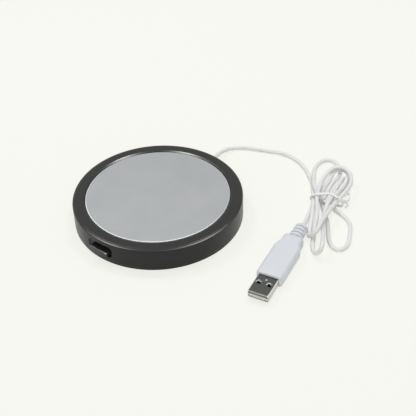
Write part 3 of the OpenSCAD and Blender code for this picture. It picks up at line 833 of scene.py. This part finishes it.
        half, low, high = self.window_half, self.window_low, self.window_high
        corners = np.array([(half, high), (-half, high), (-half, low), (half, low)])[:, None]
        share = np.arange(self.cells)[:, None] / self.cells
        border = (corners + (np.roll(corners, -1, axis=0) - corners) * share).reshape(1, -1, 2)
        blend = np.linspace(0, 1, self.blend_rings + 1)[:-1, None, None]
        turn = np.linspace(0, QUARTER_TURN, self.lip_rings)
        flat = self.on_wall(border * (1 - blend) + ring(self.recess_lip) * blend)
        out, deep = self.recess_lip * (1 - np.sin(turn)), self.recess_lip * (1 - np.cos(turn))
        lip = self.on_wall(ring(out), deep[:, None])
        foot = upright(ring(0.0), self.recess_back)
        slot = round_rect(self.slot_length, self.slot_height, self.slot_corner, *steps)
        floor = upright(slot, self.recess_back, self.switch_height)
        end = upright(slot, self.slot_back, self.switch_height)
        middle = np.broadcast_to(end.mean(axis=1, keepdims=True), end.shape)
        return np.concatenate([flat, lip, foot, floor, end, middle])

    def lit_left_end(self, recess: np.ndarray) -> np.ndarray:
        """How much painted light each point of the recess carries: its sides, more towards the left
        end.

        Args:
            recess: the rings of the recess.

        Returns:
            Numbers from 0 to 1, one for each point.
        """
        left_end = self.recess_offset - self.recess_length / 2
        lip_end = self.blend_rings + self.lip_rings
        side = np.isin(np.arange(len(recess)), (lip_end - 1, lip_end))[:, None]
        near_end = np.clip(1 - (recess[..., 0] - left_end) / self.lit_end_width, 0, 1)
        return self.lit_end_share * side * near_end

    def build(self) -> list[bpy.types.Object]:
        """Makes the housing and dresses the cover and the feet.

        Returns:
            The pieces.
        """
        profile, low, high = self.wall_profile()
        grid = revolve(profile, self.stations())
        # The block's face runs from the shelf down to the first of its two bottom points.
        block = grid[-4:-2]
        behind_recess = (np.abs(block[..., 0]) < self.block_half) & (block[..., 1] < 0)
        block[behind_recess, :2] *= self.block_radius / (self.radius - self.wall)
        keep = np.ones(grid.shape[:2], bool)
        keep[low:high, : self.cells] = False
        recess = self.recess()
        # Painted highlights on the outer edge and the inner bevel.
        skin = Surface().add(grid, True, True, keep, self.painted_highlights(grid))
        # Painted light on the left end of the recess.
        skin.add(recess, wrap_columns=True, painted_light=self.lit_left_end(recess))
        CASING_ABS.dress_nodes("base_cover")
        FOOT_RUBBER.dress_nodes("foot_pad_1", "foot_pad_2", "foot_pad_3", "foot_pad_4")
        housing = skin.piece("casing_upper")
        return [settle(housing, Body.WARMER, "casing", CASING_ABS, "upper_housing")]


@dataclass
class WarmingPlate:
    """The aluminium disc with its flange, and the stack that is clamped under it."""

    face_radius: float = 42.5
    top: float = 15.1
    corner: float = 0.35
    flange_radius: float = 44.3
    flange_top: float = 12.7
    flange_corner: float = 0.1
    bottom: float = 11.3
    arc_steps: int = 6
    columns: int = 216

    # Width of the painted highlight on the turned edge, where it is brightest in degrees from +X,
    # and how bright it is on the whole, how much that swings round the disc, and at least.
    shine_width: float = 0.75
    shine_azimuth: float = -75.0
    shine_shares: Triple = (0.45, 0.9, 0.15)

    def build(self) -> list[bpy.types.Object]:
        """Turns the disc and dresses the layers below it.

        Returns:
            The pieces.
        """
        shine_from = self.face_radius - self.shine_width
        profile = rounded_corners(
            [
                (0, self.bottom, 0),
                (self.flange_radius, self.bottom, self.flange_corner),
                (self.flange_radius, self.flange_top, self.flange_corner),
                (self.face_radius, self.flange_top, 0),
                (self.face_radius, self.top, self.corner),
                (shine_from, self.top, 0),
                (0, self.top, 0),
            ],
            self.arc_steps,
        )
        angles = full_turn(self.columns)
        # The turned edge carries a painted highlight, brightest at shine_azimuth.
        shines = (profile[:, 0] > shine_from) & (profile[:, 1] > self.top - self.corner)
        even, swing, least = self.shine_shares
        share = np.clip(even + swing * np.cos(angles - math.radians(self.shine_azimuth)), least, 1)
        disc = revolve(profile, angles)
        skin = Surface().add(disc, wrap_columns=True, painted_light=shines[:, None] * share)
        plate = skin.piece("warming_plate")
        SEAL_SILICONE.dress_nodes("plate_seal")
        HEATER_FILM.dress_nodes("heater_film")
        TRACK_FOIL.dress_nodes("heater_track")
        PAD_FIBRE.dress_nodes("insulation_pad")
        CUTOUT_CASE.dress_nodes("thermal_cutout")
        return [settle(plate, Body.WARMER, "plate", PLATE_ALUMINIUM, "hot_plate")]


@dataclass
class SlideSwitch:
    """The bar that the finger pushes along the wall, with its stem, and the switch behind it."""

    offset: float = 1.0
    height: float = 7.45
    length: float = 13.2
    depth: float = 2.9
    corner: float = 1.1
    least_corner: float = 0.05
    front_radius: float = 51.9
    front_rings: int = 5
    back: float = -47.35
    back_break: float = 0.15
    round_over: float = 0.55
    round_rings: int = 6
    corner_steps: int = 6
    side_steps: int = 10
    stem_length: float = 6.0
    stem_height: float = 2.6
    stem_corner: float = 0.3
    stem_end: float = -44.2
    socket: float = 1.66
    socket_corner: float = 0.1
    socket_end: float = -46.8

    # The upper front edge carries a painted highlight in a narrow band, and its right corner a
    # painted glint in a round spot.
    highlight_width: float = 0.22
    highlight_share: float = 0.3
    glint_inset: tuple[float, float] = (0.8, 0.4)
    glint_radius: float = 0.42
    front_margin: float = 0.05

    def on_front(self, outlines: np.ndarray, behind: np.ndarray | float = 0.0) -> np.ndarray:
        """Lays outlines (x, z) behind the round front: y = behind - sqrt(radius^2 - x^2)."""
        y = behind - np.sqrt(self.front_radius**2 - (outlines[..., 0] + self.offset) ** 2)
        return upright(outlines + [self.offset, 0], y, self.height)

    def ring(self, length: float, height: float, corner: float, y: float) -> np.ndarray:
        """A rounded rectangle across the bar at some y."""
        made = round_rect(length, height, corner, self.corner_steps, self.side_steps)
        return upright(made + [self.offset, 0], y, self.height)

    def skin(self) -> np.ndarray:
        """The closed skin of the bar, from the middle of its front to the inner lever's socket.

        Returns:
            A grid of points.
        """
        turn = np.linspace(0, QUARTER_TURN, self.round_rings)
        shrink = self.round_over * (1 - np.sin(turn))
        face = round_rect(
            self.length - 2 * shrink, self.depth - 2 * shrink,
            np.maximum(self.corner - shrink, self.least_corner), self.corner_steps, self.side_steps,
        )
        edge = self.on_front(face, self.round_over * (1 - np.cos(turn[:, None])))
        share = np.linspace(0, 1, self.front_rings)[:-1, None, None]
        cut = self.back_break
        stem = (self.stem_length, self.stem_height, self.stem_corner)
        socket = (self.socket, self.socket, self.socket_corner)
        rings = [
            self.on_front(face[:1] * share),
            edge,
            edge[-1:] + [0, self.highlight_width, 0],
            self.ring(self.length, self.depth, self.corner, self.back - cut),
            self.ring(self.length - 2 * cut, self.depth - 2 * cut, self.corner - cut, self.back),
            self.ring(*stem, self.back),
            self.ring(*stem, self.stem_end),
            self.ring(*socket, self.stem_end),
            self.ring(*socket, self.socket_end),
        ]
        return closed_ends(np.concatenate(rings))[1:]

    def painted_light(self, skin: np.ndarray) -> np.ndarray:
        """How much painted light each point carries: exp(-(distance / width)^2) from the edge and
        the glint.

        Args:
            skin: points of the bar.

        Returns:
            Numbers from 0 to 1, one for each point.
        """
        x = skin[..., 0] - self.offset - self.length / 2
        z = skin[..., 2] - self.height - self.depth / 2
        band = np.exp(-(((z + self.round_over / 2) / self.highlight_width) ** 2))
        spot = np.hypot(x + self.glint_inset[0], z + self.glint_inset[1]) / self.glint_radius
        radius = np.hypot(skin[..., 0], skin[..., 1])
        at_front = radius > self.front_radius - self.round_over - self.front_margin
        return at_front * np.clip(self.highlight_share * band + np.exp(-(spot**2)), 0, 1)

    def build(self) -> list[bpy.types.Object]:
        """Makes the bar with its stem and dresses the inner switch.

        Returns:
            The pieces.
        """
        skin = self.skin()
        bar = Surface().add(skin, wrap_columns=True, painted_light=self.painted_light(skin)).piece("switch_bar")
        LEVER_ACETAL.dress_nodes("switch_lever")
        PUNCHED_BRASS.dress_nodes("switch_contact", "switch_terminals")
        ZINC_STEEL.dress_nodes("switch_can", "switch_screws")
        PHENOLIC.dress_nodes("switch_base")
        return [settle(bar, Body.SLIDER, "switch_plastic", SWITCH_ABS, "switch_knob")]


class Interior:
    """What holds the stack and the cord inside, and the wires between them."""

    def build(self) -> list[bpy.types.Object]:
        """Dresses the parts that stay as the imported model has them.

        Returns:
            No new pieces.
        """
        ZINC_STEEL.dress_nodes(
            "base_screws", "clamp_plate", "clamp_screws", "cord_clamp", "cord_clamp_screws"
        )
        TIN_SOLDER.dress_nodes("solder_joints")
        WIRE_RED.dress_nodes("wire_supply", "wire_switched")
        WIRE_WHITE.dress_nodes("wire_heater")
        WIRE_BLACK.dress_nodes("wire_return")
        CORD_PVC.dress_nodes("inner_cord", "cord_gland")
        return []


# Sections of the grip, from the shell's end to the sleeve's: y, width, height and corner radius.
GRIP_SECTIONS = [
    (0.0, 13.6, 6.0, 1.7), (0.25, 14.5, 6.8, 2.0), (0.9, 15.2, 7.4, 2.15), (1.6, 15.4, 7.6, 2.2),
    (8.0, 15.4, 7.6, 2.2), (16.0, 15.4, 7.6, 2.2), (25.0, 15.4, 7.6, 2.2), (26.2, 15.2, 7.6, 2.2),
    (27.2, 14.7, 7.6, 2.2), (29.6, 12.9, 7.6, 2.2), (30.6, 12.35, 7.6, 2.2),
    (31.8, 12.15, 7.6, 2.2), (34.6, 12.1, 7.5, 2.2), (35.5, 11.6, 7.1, 2.1), (36.0, 10.6, 6.2, 1.9),
]


@dataclass
class Plug:
    """The plug: its grip, the ribbed sleeve behind it, the folded metal shell and its inside."""

    origin: Point = (87.4, -8.3, 0.0)
    turn: float = 13.1
    middle: float = 3.8
    crisp_deg: float = 40.0
    grip_length: float = 36.0
    grip_corner_steps: int = 8
    grip_side_steps: int = 6

    shell_width: float = 12.0
    shell_height: float = 4.5
    shell_out: float = 14.5
    shell_in: float = 4.0
    shell_wall: float = 0.3
    shell_corner: float = 0.5
    flat_margin: float = 0.2
    window_x: float = 3.1
    window_y: float = -6.4
    window_width: float = 2.1
    window_length: float = 1.7
    # The sprung mark between the windows: y of its ends and its middle, half its width, its height.
    mark_y: Triple = (-3.8, -3.1, -2.4)
    mark_half: float = 0.9
    mark_height: float = 0.25
    # How far behind the mouth its rings are, how far each is drawn in and how much painted
    # highlight it carries.
    mouth_y: Triple = (0.0, 0.15, 0.45)
    mouth_in: Triple = (0.3, 0.14, 0.03)
    mouth_highlight: Triple = (0.7, 0.5, 0.1)
    mouth_end: float = 0.8
    bend_highlight: tuple[float, ...] = (0.1, 0.75, 1.0, 0.8, 0.55)

    sleeve_radius: float = 3.75
    sleeve_width: float = 8.6
    sleeve_length: float = 12.0
    sleeve_start: float = -0.6
    sleeve_columns: int = 40
    ribs: int = 4
    groove_depth: float = 0.9
    groove_length: float = 0.75
    rib_start: float = 0.9
    rib_slope: float = 0.12
    rib_taper: float = 0.14
    rib_corner: float = 0.3
    last_corner: float = 1.0
    # Where the sleeve hugs the cord: distance from its skin, how far past the sleeve, and radius.
    sleeve_mouth: tuple[Triple, ...] = ((0.25, 0.35, 0.2), (0.05, -0.2, 0.0))
    sleeve_steps: int = 4
    cord_radius: float = 1.3
    # Painted shade inside the shell: none up to the first depth behind the mouth, full from the
    # second.
    shade_depth: tuple[float, float] = (1.5, 4.0)

    @property
    def placing(self) -> Placing:
        """The plug's own frame: +Y towards the cord, the origin where shell and grip meet."""
        return Placing(self.origin, self.turn)

    def plastic(self, grid: np.ndarray, name: str, node: str) -> bpy.types.Object:
        """Makes a moulded piece of the plug from its skin, for a node."""
        piece = Surface().add(grid, wrap_columns=True).piece(name, self.placing, self.crisp_deg)
        return settle(piece, Body.WARMER, "plug_plastic", PLUG_PVC, node)

    def grip(self) -> bpy.types.Object:
        """The moulded grip: rounded rectangles along Y whose size follows its outline.

        Returns:
            The piece.
        """
        steps = (self.grip_corner_steps, self.grip_side_steps)
        y, width, height, corner = np.array(GRIP_SECTIONS).T
        pocket = round_rect(self.shell_width, self.shell_height, self.shell_corner, *steps)
        outlines = np.concatenate([pocket, pocket, round_rect(width, height, corner, *steps)])
        y = np.concatenate([[self.shell_in, 0.0], y])[:, None]
        skin = closed_ends(upright(outlines, y, self.middle))
        return self.plastic(skin, "plug_body", "plug_grip")

    def sleeve(self) -> bpy.types.Object:
        """The ribbed sleeve: a profile turned about the cord, with a groove before each rib.

        Returns:
            The piece.
        """
        pitch = self.sleeve_length / self.ribs
        bottom = self.sleeve_radius - self.groove_depth
        corners = [(0.0, self.sleeve_start, 0.0), (bottom, self.sleeve_start, 0.0)]
        for i in range(self.ribs):
            start, less = i * pitch, self.rib_taper * i
            corner = self.last_corner if i == self.ribs - 1 else self.rib_corner
            corners += [
                (bottom - less, start, 0.0),
                (bottom - less, start + self.groove_length, 0.0),
                (self.sleeve_radius - less, start + self.rib_start, self.rib_corner),
                (self.sleeve_radius - less - self.rib_slope, start + pitch, corner),
            ]
        corners += [
            (self.cord_radius + r, self.sleeve_length + y, corner)
            for r, y, corner in self.sleeve_mouth
        ]
        corners.append((0.0, *corners[-1][1:]))
        profile = rounded_corners(corners, self.sleeve_steps)
        turned = revolve(profile, full_turn(self.sleeve_columns))
        size = [self.sleeve_width / (2 * self.sleeve_radius), -1, 1]
        grid = (turned * size)[..., [0, 2, 1]] + [0, self.grip_length, self.middle]
        return self.plastic(grid, "plug_sleeve", "plug_relief")

    def shell_ring(self) -> tuple[np.ndarray, np.ndarray]:
        """The shell's outline, with stops at the windows and the mark, and its painted highlight on
        the bends.

        Returns:
            Points (x, z) of shape (n, 2) and numbers from 0 to 1 of shape (n,).
        """
        half, high, r = self.shell_width / 2, self.shell_height / 2, self.shell_corner
        near, far = self.window_x - self.window_width / 2, self.window_x + self.window_width / 2
        right = np.array([self.mark_half, near, far, half - r - self.flat_margin])
        stops = np.concatenate([-right[::-1], [0], right])
        turn = np.linspace(0, QUARTER_TURN, len(self.bend_highlight))
        bend = np.stack([half - r + r * np.sin(turn), high - r + r * np.cos(turn)], 1)
        top = np.stack([stops, np.full(len(stops), high)], 1)
        half_ring = np.concatenate([top, bend, bend[::-1] * [1, -1]])
        painted_light = np.concatenate([np.zeros(len(stops)), self.bend_highlight, self.bend_highlight[::-1]])
        return np.concatenate([half_ring, -half_ring]), np.tile(painted_light, 2)

    def shell(self) -> bpy.types.Object:
        """The metal shell: one bent sheet round the plug with four windows, given its thickness.

        Returns:
            The piece.
        """
        ring, painted_light = self.shell_ring()
        mouth = [-self.shell_out + y for y in (*self.mouth_y, self.mouth_end)]
        window = [self.window_y - self.window_length / 2, self.window_y + self.window_length / 2]
        y = np.array([*mouth, *window, *self.mark_y, 0, self.shell_in])
        drawn_in, share = np.zeros(len(y)), np.tile(painted_light, (len(y), 1))
        drawn_in[: len(self.mouth_in)] = self.mouth_in
        size = np.array([self.shell_width, self.shell_height]) / 2
        grid = upright(ring * (size - drawn_in[:, None, None]) / size, y[:, None], self.middle)
        # The mouth's rings carry a painted highlight.
        share[: len(self.mouth_highlight)] = np.maximum(
            share[: len(self.mouth_highlight)], np.array(self.mouth_highlight)[:, None]
        )
        # The middle of the mark is the crossing of its middle ring with the fifth point, and the
        # windows lie after the second and the seventh point of the top and of the bottom.
        mark = (len(mouth) + len(window) + 1, 4)
        grid[mark][2] += self.mark_height
        # The crest of the mark carries a painted glint.
        share[mark] = 1.0
        keep = np.ones((len(y) - 1, len(ring)), bool)
        keep[len(mouth), [1, 6, len(ring) // 2 + 1, len(ring) // 2 + 6]] = False
        skin = Surface().add(grid, wrap_columns=True, keep=keep, painted_light=share)
        piece = skin.piece("plug_shell_sheet", self.placing, self.crisp_deg)
        wall = piece.modifiers.new("sheet", "SOLIDIFY")
        wall.thickness = self.shell_wall * MM
        wall.offset = -1.0
        return settle(piece, Body.WARMER, "plug_metal", NICKEL_STEEL, "plug_shell")

    def paint_inner_shade(self, tongue: bpy.types.Object) -> None:
        """Paints shade on the white inside of the plug behind the mouth of the shell.

        The painted shade follows the distance behind the mouth: how far a point lies along the
        plug.

        Args:
            tongue: the dressed inside of the plug.
        """
        tree = tongue.data.materials[0].node_tree
        shader = next(n for n in tree.nodes if n.type == "BSDF_PRINCIPLED")
        unshaded = shader.inputs["Base Color"].links[0].from_socket
        place = add_node(tree, "TexCoord").outputs["Object"]
        ends = np.array([(0, -self.shell_out, self.middle), (0, 0, self.middle)])
        mouth, grip = self.placing.points(ends)
        shift = add_node(
            tree, "VectorMath", {"operation": "SUBTRACT"}, in_0=place, in_1=tuple(mouth * MM)
        )
        along = add_node(
            tree, "VectorMath", {"operation": "DOT_PRODUCT"},
            in_0=shift.outputs[0], in_1=tuple(unit(grip - mouth)),
        )
        unshaded_to, dark_from = np.array(self.shade_depth) * MM
        behind = add_node(
            tree, "MapRange", Value=along.outputs["Value"], From_Min=unshaded_to, From_Max=dark_from
        )
        mix = add_node(
            tree, "Mix", {"data_type": "RGBA"},
            Factor=behind.outputs["Result"], in_6=unshaded, in_7=linear(PAINTED_SHADE),
        )
        tree.links.new(mix.outputs[2], shader.inputs["Base Color"])

    def build(self) -> list[bpy.types.Object]:
        """Makes the grip, the sleeve and the shell, and dresses the inside.

        Returns:
            The pieces.
        """
        PLUG_NYLON.dress_nodes("plug_insulator")
        self.paint_inner_shade(NODES["plug_insulator"])
        PUNCHED_BRASS.dress_nodes("plug_contacts")
        return [self.grip(), self.sleeve(), self.shell()]


# Route of the cord, in millimetres, from the gland through the bundle to the plug. It starts
# straight along the line of the gland and ends straight along the plug's sleeve.
LEAD = [
    (-4.53, 51.8, 5.8), (-4.79, 54.79, 5.8), (-5.5, 60, 5.5), (-7, 67, 4), (-7, 74, 2.5),
    (-4, 80, 1.5), (2.5, 84.5, 1.3), (9.5, 87.5, 1.3), (16.5, 90.5, 1.3), (23.5, 93, 1.3),
    (31, 93, 1.3), (38.5, 91, 1.3), (45, 87.5, 1.3), (51.5, 82.5, 1.3), (57, 77.5, 1.3),
    (61.5, 71.5, 1.5),
]
BUNDLE = [
    (64, 67.4, 2.9), (67, 63.6, 4.3), (71, 57.3, 4.1), (74.8, 50.6, 3.9), (78.4, 44.2, 2.7),
    (81.2, 38.8, 1.6), (83.4, 35.4, 2.8), (86, 34.6, 5.2), (87.4, 36.9, 7.8), (86.7, 41, 9.1),
    (84.8, 47.8, 8.6), (83.3, 55.3, 8), (81.6, 62.6, 6.8), (79.9, 69.9, 5.3), (79.3, 78.2, 5.3),
    (78.7, 84.7, 6.2), (75.7, 91.1, 7), (71.7, 94.2, 8.1), (67, 95.3, 8.2), (63, 94.2, 7.7),
    (61.1, 91, 7), (61.1, 86.1, 6.4), (62.1, 80.8, 6.1), (64.1, 75.1, 6.2), (66.8, 68.8, 6.6),
    (70.1, 62.5, 6.4), (74.6, 56.5, 5.2), (78.6, 50, 4.1), (82, 43.3, 3), (85.9, 36.2, 1.7),
    (89.8, 29.9, 1.4), (93.4, 26.1, 2.2), (96.7, 24.7, 4.4), (97.8, 26.2, 7), (96, 30.3, 8.6),
    (92.3, 36, 7.9), (88.5, 41.8, 6.1), (84.5, 48, 5), (80.8, 54.5, 5), (78.2, 60.9, 5.9),
    (76.6, 67.1, 6.5), (76.5, 71.8, 6.3), (75.6, 78.5, 5), (74, 86.2, 4), (72.7, 91.5, 4.8),
    (71.6, 94.8, 5.6), (68.6, 96.7, 5.8), (65.4, 96.8, 5.6), (63, 95.6, 5.2), (62.1, 93, 4.7),
    (62.7, 89.6, 4.1), (64.1, 85.1, 3.9), (65.3, 79.4, 3.9), (66.8, 73.4, 3.6), (68.4, 70.3, 2.2),
    (70.8, 67, 1.4), (75.6, 61.8, 1.3),
]
LOWER_LOOP = [
    (81, 56.5, 1.4), (86, 51, 1.4), (90.5, 44.5, 1.6), (94.8, 39.3, 1.6), (99.2, 36.5, 1.5),
    (103.2, 37.5, 1.3), (104.5, 42, 1.3), (103, 47, 1.6), (99.5, 53.5, 1.6), (95.5, 59.6, 1.4),
    (89.6, 63.4, 1.3), (84, 64.6, 1.3),
]
HAIRPIN = [
    (79.6, 66.4, 1.5), (77.8, 71.2, 1.9), (77, 77, 1.5), (76.2, 83, 1.3), (75.3, 88.5, 1.3),
    (74.2, 92.6, 1.3), (72.4, 94.4, 1.7), (70.4, 93.9, 2.6), (69.8, 91.2, 3.4), (70.4, 87.5, 3.8),
    (71.4, 82.5, 3.9), (72.8, 77.2, 3.9), (74.6, 72.8, 4), (76.2, 69.4, 4), (76.3, 66.4, 4),
    (74.3, 64.9, 4), (72.2, 66.6, 4), (71, 70.8, 4), (69.3, 76, 3.9), (67.7, 81.7, 3.9),
    (66.9, 87.6, 3.8), (66.1, 92.2, 3.2),
]
UPPER_LOOP = [
    (64.4, 96.8, 1.8), (60.5, 102, 1.3), (56, 105, 1.3), (51.5, 105.5, 1.3), (48.5, 103, 1.3),
    (47.5, 99, 1.3), (48.5, 93, 1.5), (52, 86, 3), (56, 80, 4), (60.5, 74, 4.5), (65.6, 69.8, 3.4),
]
TAIL = [
    (67.6, 65.5, 1.8), (69.5, 58.5, 1.3), (72, 51.5, 1.5), (74.5, 45, 3), (75.95, 40.89, 3.8),
    (76.52, 38.45, 3.8),
]


@dataclass
class CordRun:
    """The free cord: a round jacket along one smooth line."""

    diameter: float = 2.6
    sides: int = 18
    step: float = 0.5
    ease: float = 3.0
    exit: Point = LEAD[0]

    def line(self) -> np.ndarray:
        """The middle of the cord, eased a little and never lower than the table allows.

        Returns:
            Points at even steps, shape (n, 3).
        """
        route = LEAD + BUNDLE + LOWER_LOOP + HAIRPIN + UPPER_LOOP + TAIL
        line = eased(smooth_path(route, self.step), self.ease)
        line[:, 2] = np.maximum(line[:, 2], self.diameter / 2)
        return line

    def build(self) -> list[bpy.types.Object]:
        """Returns:
            The pieces.
        """
        line = self.line()
        grid = closed_ends(swept(line, circle(self.diameter / 2, self.sides), UP))
        cord = settle(
            Surface().add(grid, wrap_columns=True).piece("cord"), Body.WARMER, "cord", CORD_PVC,
            "cord_lead", "cord_loop_upper", "cord_hank", "cord_loop_lower", "cord_tail",
        )
        return [cord]


# Routes of the tie, in millimetres: once round the bundle, the stretch in which its two ends wind
# round each other, and where each end goes from there.
TIE_BAND = [
    (63.2, 66.4, 1.2), (63.7, 65.6, 2.8), (64.8, 64.8, 4.8), (66.5, 63.7, 6.9), (68.5, 63.8, 8.2),
    (70.6, 65.4, 8.5), (72.6, 67.3, 8.5), (74.6, 69, 8.3), (77.1, 69.6, 8.1), (79.7, 69.6, 7.6),
    (82, 70.4, 5.8), (82.7, 71.2, 3.6), (82.6, 71.6, 1.4), (81.2, 71.4, 0.35), (72.5, 69.2, 0.35),
    (65, 67.2, 0.35), (64, 66.5, 0.4),
]
TIE_TWIST = [(80, 69.1, 7.8), (81.7, 69.2, 7.4), (82.8, 70.6, 6), (83.4, 72.4, 4.6)]
TIE_LOOP = [
    (83.2, 75, 3.6), (82.4, 78.2, 3.2), (81.2, 80.2, 3.5), (80.7, 79.6, 4.6), (81.4, 77.4, 5),
]
TIE_TAIL = [(84.2, 73.2, 3.2), (84.5, 73, 1.8), (84, 72, 0.9)]


@dataclass
class TwistTie:
    """The ribbon round the bundle, with its two ends twisted together."""

    width: float = 1.9
    thickness: float = 0.6
    corner: float = 0.18
    band_step: float = 0.4
    across: Point = (-0.35, 0.94, 0.0)
    clear_of_table: float = 0.05
    end_width: float = 1.6
    end_thickness: float = 0.8
    end_corner: float = 0.3
    end_step: float = 0.25
    twist_offset: float = 0.6
    twist_pitch: float = 3.2
    corner_steps: int = 4
    side_steps: int = 2

    def section(self, width: float, thickness: float, corner: float) -> np.ndarray:
        """A section of the ribbon: a rounded rectangle of shape (n, 2)."""
        return round_rect(width, thickness, corner, self.corner_steps, self.side_steps)[0]

    def band(self) -> np.ndarray:
        """The closed turn round the bundle, which never dips below the table.

        Returns:
            A grid of its skin.
        """
        line = smooth_path(TIE_BAND + TIE_BAND[:1], self.band_step)[:-1]
        line[:, 2] = np.maximum(line[:, 2], self.thickness / 2 + self.clear_of_table)
        section = self.section(self.width, self.thickness, self.corner)
        return swept(line, section, np.array(self.across))

    def end(self, route: list[Point], start_turn: float) -> np.ndarray:
        """One end: it winds round the other one, then goes its own way.

        While it winds, its middle stays at an even distance from the line of the twist, and turns
        about that line once in each pitch: offset * (cos t * side + sin t * up).

        Args:
            route: the line that it takes after the twist.
            start_turn: where round the twist it starts, in turns.

        Returns:
            A grid of its skin.
        """
        line = smooth_path(TIE_TWIST + route, self.end_step)
        twisted = run_along(np.array(TIE_TWIST))[-1]
        turns = start_turn + np.minimum(run_along(line), twisted) / self.twist_pitch
        c, s = (f(2 * math.pi * turns)[:, None] for f in (np.cos, np.sin))
        ahead = np.gradient(line, axis=0)
        side = unit(np.cross(ahead, UP))
        line = line + self.twist_offset * (c * side + s * unit(np.cross(side, ahead)))
        x, y = self.section(self.end_width, self.end_thickness, self.end_corner).T
        return closed_ends(swept(line, np.stack([x * c - y * s, x * s + y * c], axis=-1), UP))

    def build(self) -> list[bpy.types.Object]:
        """Sweeps the ribbon round the bundle and its two ends.

        Returns:
            The pieces.
        """
        ribbon = Surface().add(self.band(), True, True)
        for route, start_turn in ((TIE_LOOP, 0.0), (TIE_TAIL, 0.5)):
            ribbon.add(self.end(route, start_turn), wrap_columns=True)
        return [settle(ribbon.piece("tie_ribbon"), Body.WARMER, "tie", TIE_PLASTIC, "twist_tie")]


# ---------------------------------------------------------------- studio


def placed(x: np.ndarray, y: np.ndarray, at: np.ndarray) -> Matrix:
    """The matrix of an object that stands at a place with its own axes along x, y and x cross y."""
    return Matrix(np.vstack([np.stack([x, y, np.cross(x, y), at], 1), [0, 0, 0, 1]]).tolist())


@dataclass(frozen=True)
class Lamp:
    """A square soft lamp: its place and the length of its side in metres, and its power in watts.

    It looks at a target on the table, also in metres.
    """

    name: str
    at: Point
    size: float
    power: float
    target: Point = (0.02, 0.02, 0.0)

    def build(self) -> None:
        """Hangs the lamp so that it looks at the warmer."""
        data = bpy.data.lights.new(self.name, "AREA")
        data.size, data.energy = self.size, self.power
        away = unit(np.array(self.at) - self.target)
        side = unit(np.cross(UP, away))
        linked(self.name, data).matrix_world = placed(side, np.cross(away, side), np.array(self.at))


@dataclass
class Studio:
    """The pale table, the soft lamps and the camera."""

    camera_at: Point = (294.9, -293.7, 341.2)
    right: Point = (0.7536, 0.6574, 0.0)
    up: Point = (-0.4150, 0.4757, 0.7756)
    roll: float = -2.188
    lens: float = 77.88
    sensor: float = 36.0
    clip_from_to: tuple[float, float] = (0.01, 20.0)
    backdrop: str = "#f8f9f2"
    surround: str = "#f4f5f6"
    ambient: float = 0.35
    floor_shows_backdrop: float = 0.8
    floor_radii: Triple = (0.0, 300.0, 3000.0)
    floor_level: float = -0.02
    floor_columns: int = 64
    lamps: tuple[Lamp, ...] = (
        Lamp("left_lamp", (-0.55, 0.03, 0.96), 0.26, 3.3),
        Lamp("rear_lamp", (0.02, 0.47, 1.1), 0.26, 3.3),
        Lamp("fill_lamp", (0.75, -0.75, 1.1), 1.2, 7.6),
    )

    def camera(self) -> None:
        """Puts the camera where it looks down on the warmer from the front right."""
        data = bpy.data.cameras.new("camera")
        data.lens, data.sensor_width = self.lens, self.sensor
        data.clip_start, data.clip_end = self.clip_from_to
        right, up = unit(np.array(self.right)), unit(np.array(self.up))
        c, s = math.cos(math.radians(self.roll)), math.sin(math.radians(self.roll))
        made = linked("camera", data)
        at = np.array(self.camera_at) * MM
        made.matrix_world = placed(right * c + up * s, up * c - right * s, at)
        bpy.context.scene.camera = made

    def seen(self, tree: bpy.types.NodeTree) -> bpy.types.NodeSocket:
        """Tells the rays of the camera, of reflections and through glass from those of the light.

        Args:
            tree: node tree of the floor or the world.

        Returns:
            A socket that is 1 for those rays and 0 for the others.
        """
        path = add_node(tree, "LightPath").outputs
        seen = path["Is Camera Ray"]
        for kind in ("Is Transmission Ray", "Is Glossy Ray"):
            either = add_node(tree, "Math", {"operation": "MAXIMUM"}, in_0=seen, in_1=path[kind])
            seen = either.outputs[0]
        return seen

    def floor(self) -> None:
        """The table: a wide disc whose pale colour is what the backdrop shows."""
        rings = np.array([(radius, self.floor_level) for radius in self.floor_radii])
        skin = Surface().add(revolve(rings, full_turn(self.floor_columns)), wrap_columns=True)
        made = skin.piece("floor", outwards=False)
        paint = Finish(
            "matt_table_paint", self.backdrop, self.backdrop, 0.9, patch_mm=60, depth_mm=0.001
        )
        paint.dress(made)
        tree = made.data.materials[0].node_tree
        out = next(n for n in tree.nodes if n.type == "OUTPUT_MATERIAL")
        painted = out.inputs["Surface"].links[0].from_socket
        share = add_node(
            tree, "Math", {"operation": "MULTIPLY"},
            in_0=self.seen(tree), in_1=self.floor_shows_backdrop,
        ).outputs[0]
        shown = add_node(tree, "Emission", Color=linear(self.backdrop), Strength=1.0).outputs[0]
        mix = add_node(tree, "MixShader", in_0=share, in_1=painted, in_2=shown)
        tree.links.new(mix.outputs[0], out.inputs["Surface"])

    def world(self) -> None:
        """A plain pale surround; the camera and reflections see the backdrop's colour in it."""
        world = bpy.data.worlds.new("surround")
        world.use_nodes = True
        tree = world.node_tree
        tree.nodes.clear()
        light, shown = (
            add_node(tree, "Background", Color=linear(colour), Strength=strength).outputs[0]
            for colour, strength in ((self.surround, self.ambient), (self.backdrop, 1.0))
        )
        mix = add_node(tree, "MixShader", in_0=self.seen(tree), in_1=light, in_2=shown)
        add_node(tree, "OutputWorld", Surface=mix.outputs[0])
        bpy.context.scene.world = world

    def build(self) -> None:
        """Sets up the camera, the table, the surround and the lamps."""
        bpy.context.scene.view_settings.view_transform = "Standard"
        self.camera()
        self.floor()
        self.world()
        for lamp in self.lamps:
            lamp.build()


def main() -> None:
    """Builds the sub-assemblies in order and reports their pieces."""
    logging.basicConfig(level=logging.INFO, format="%(name)s: %(message)s")
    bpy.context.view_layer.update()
    Studio().build()
    parts = [Plug(), CordRun(), TwistTie(), Casing(), WarmingPlate(), SlideSwitch(), Interior()]
    for part in parts:
        for piece in part.build():
            LOG.info("%s: %s, %d faces", type(part).__name__, piece.name, len(piece.data.polygons))
    bpy.context.view_layer.update()


if __name__ == "__main__":
    main()
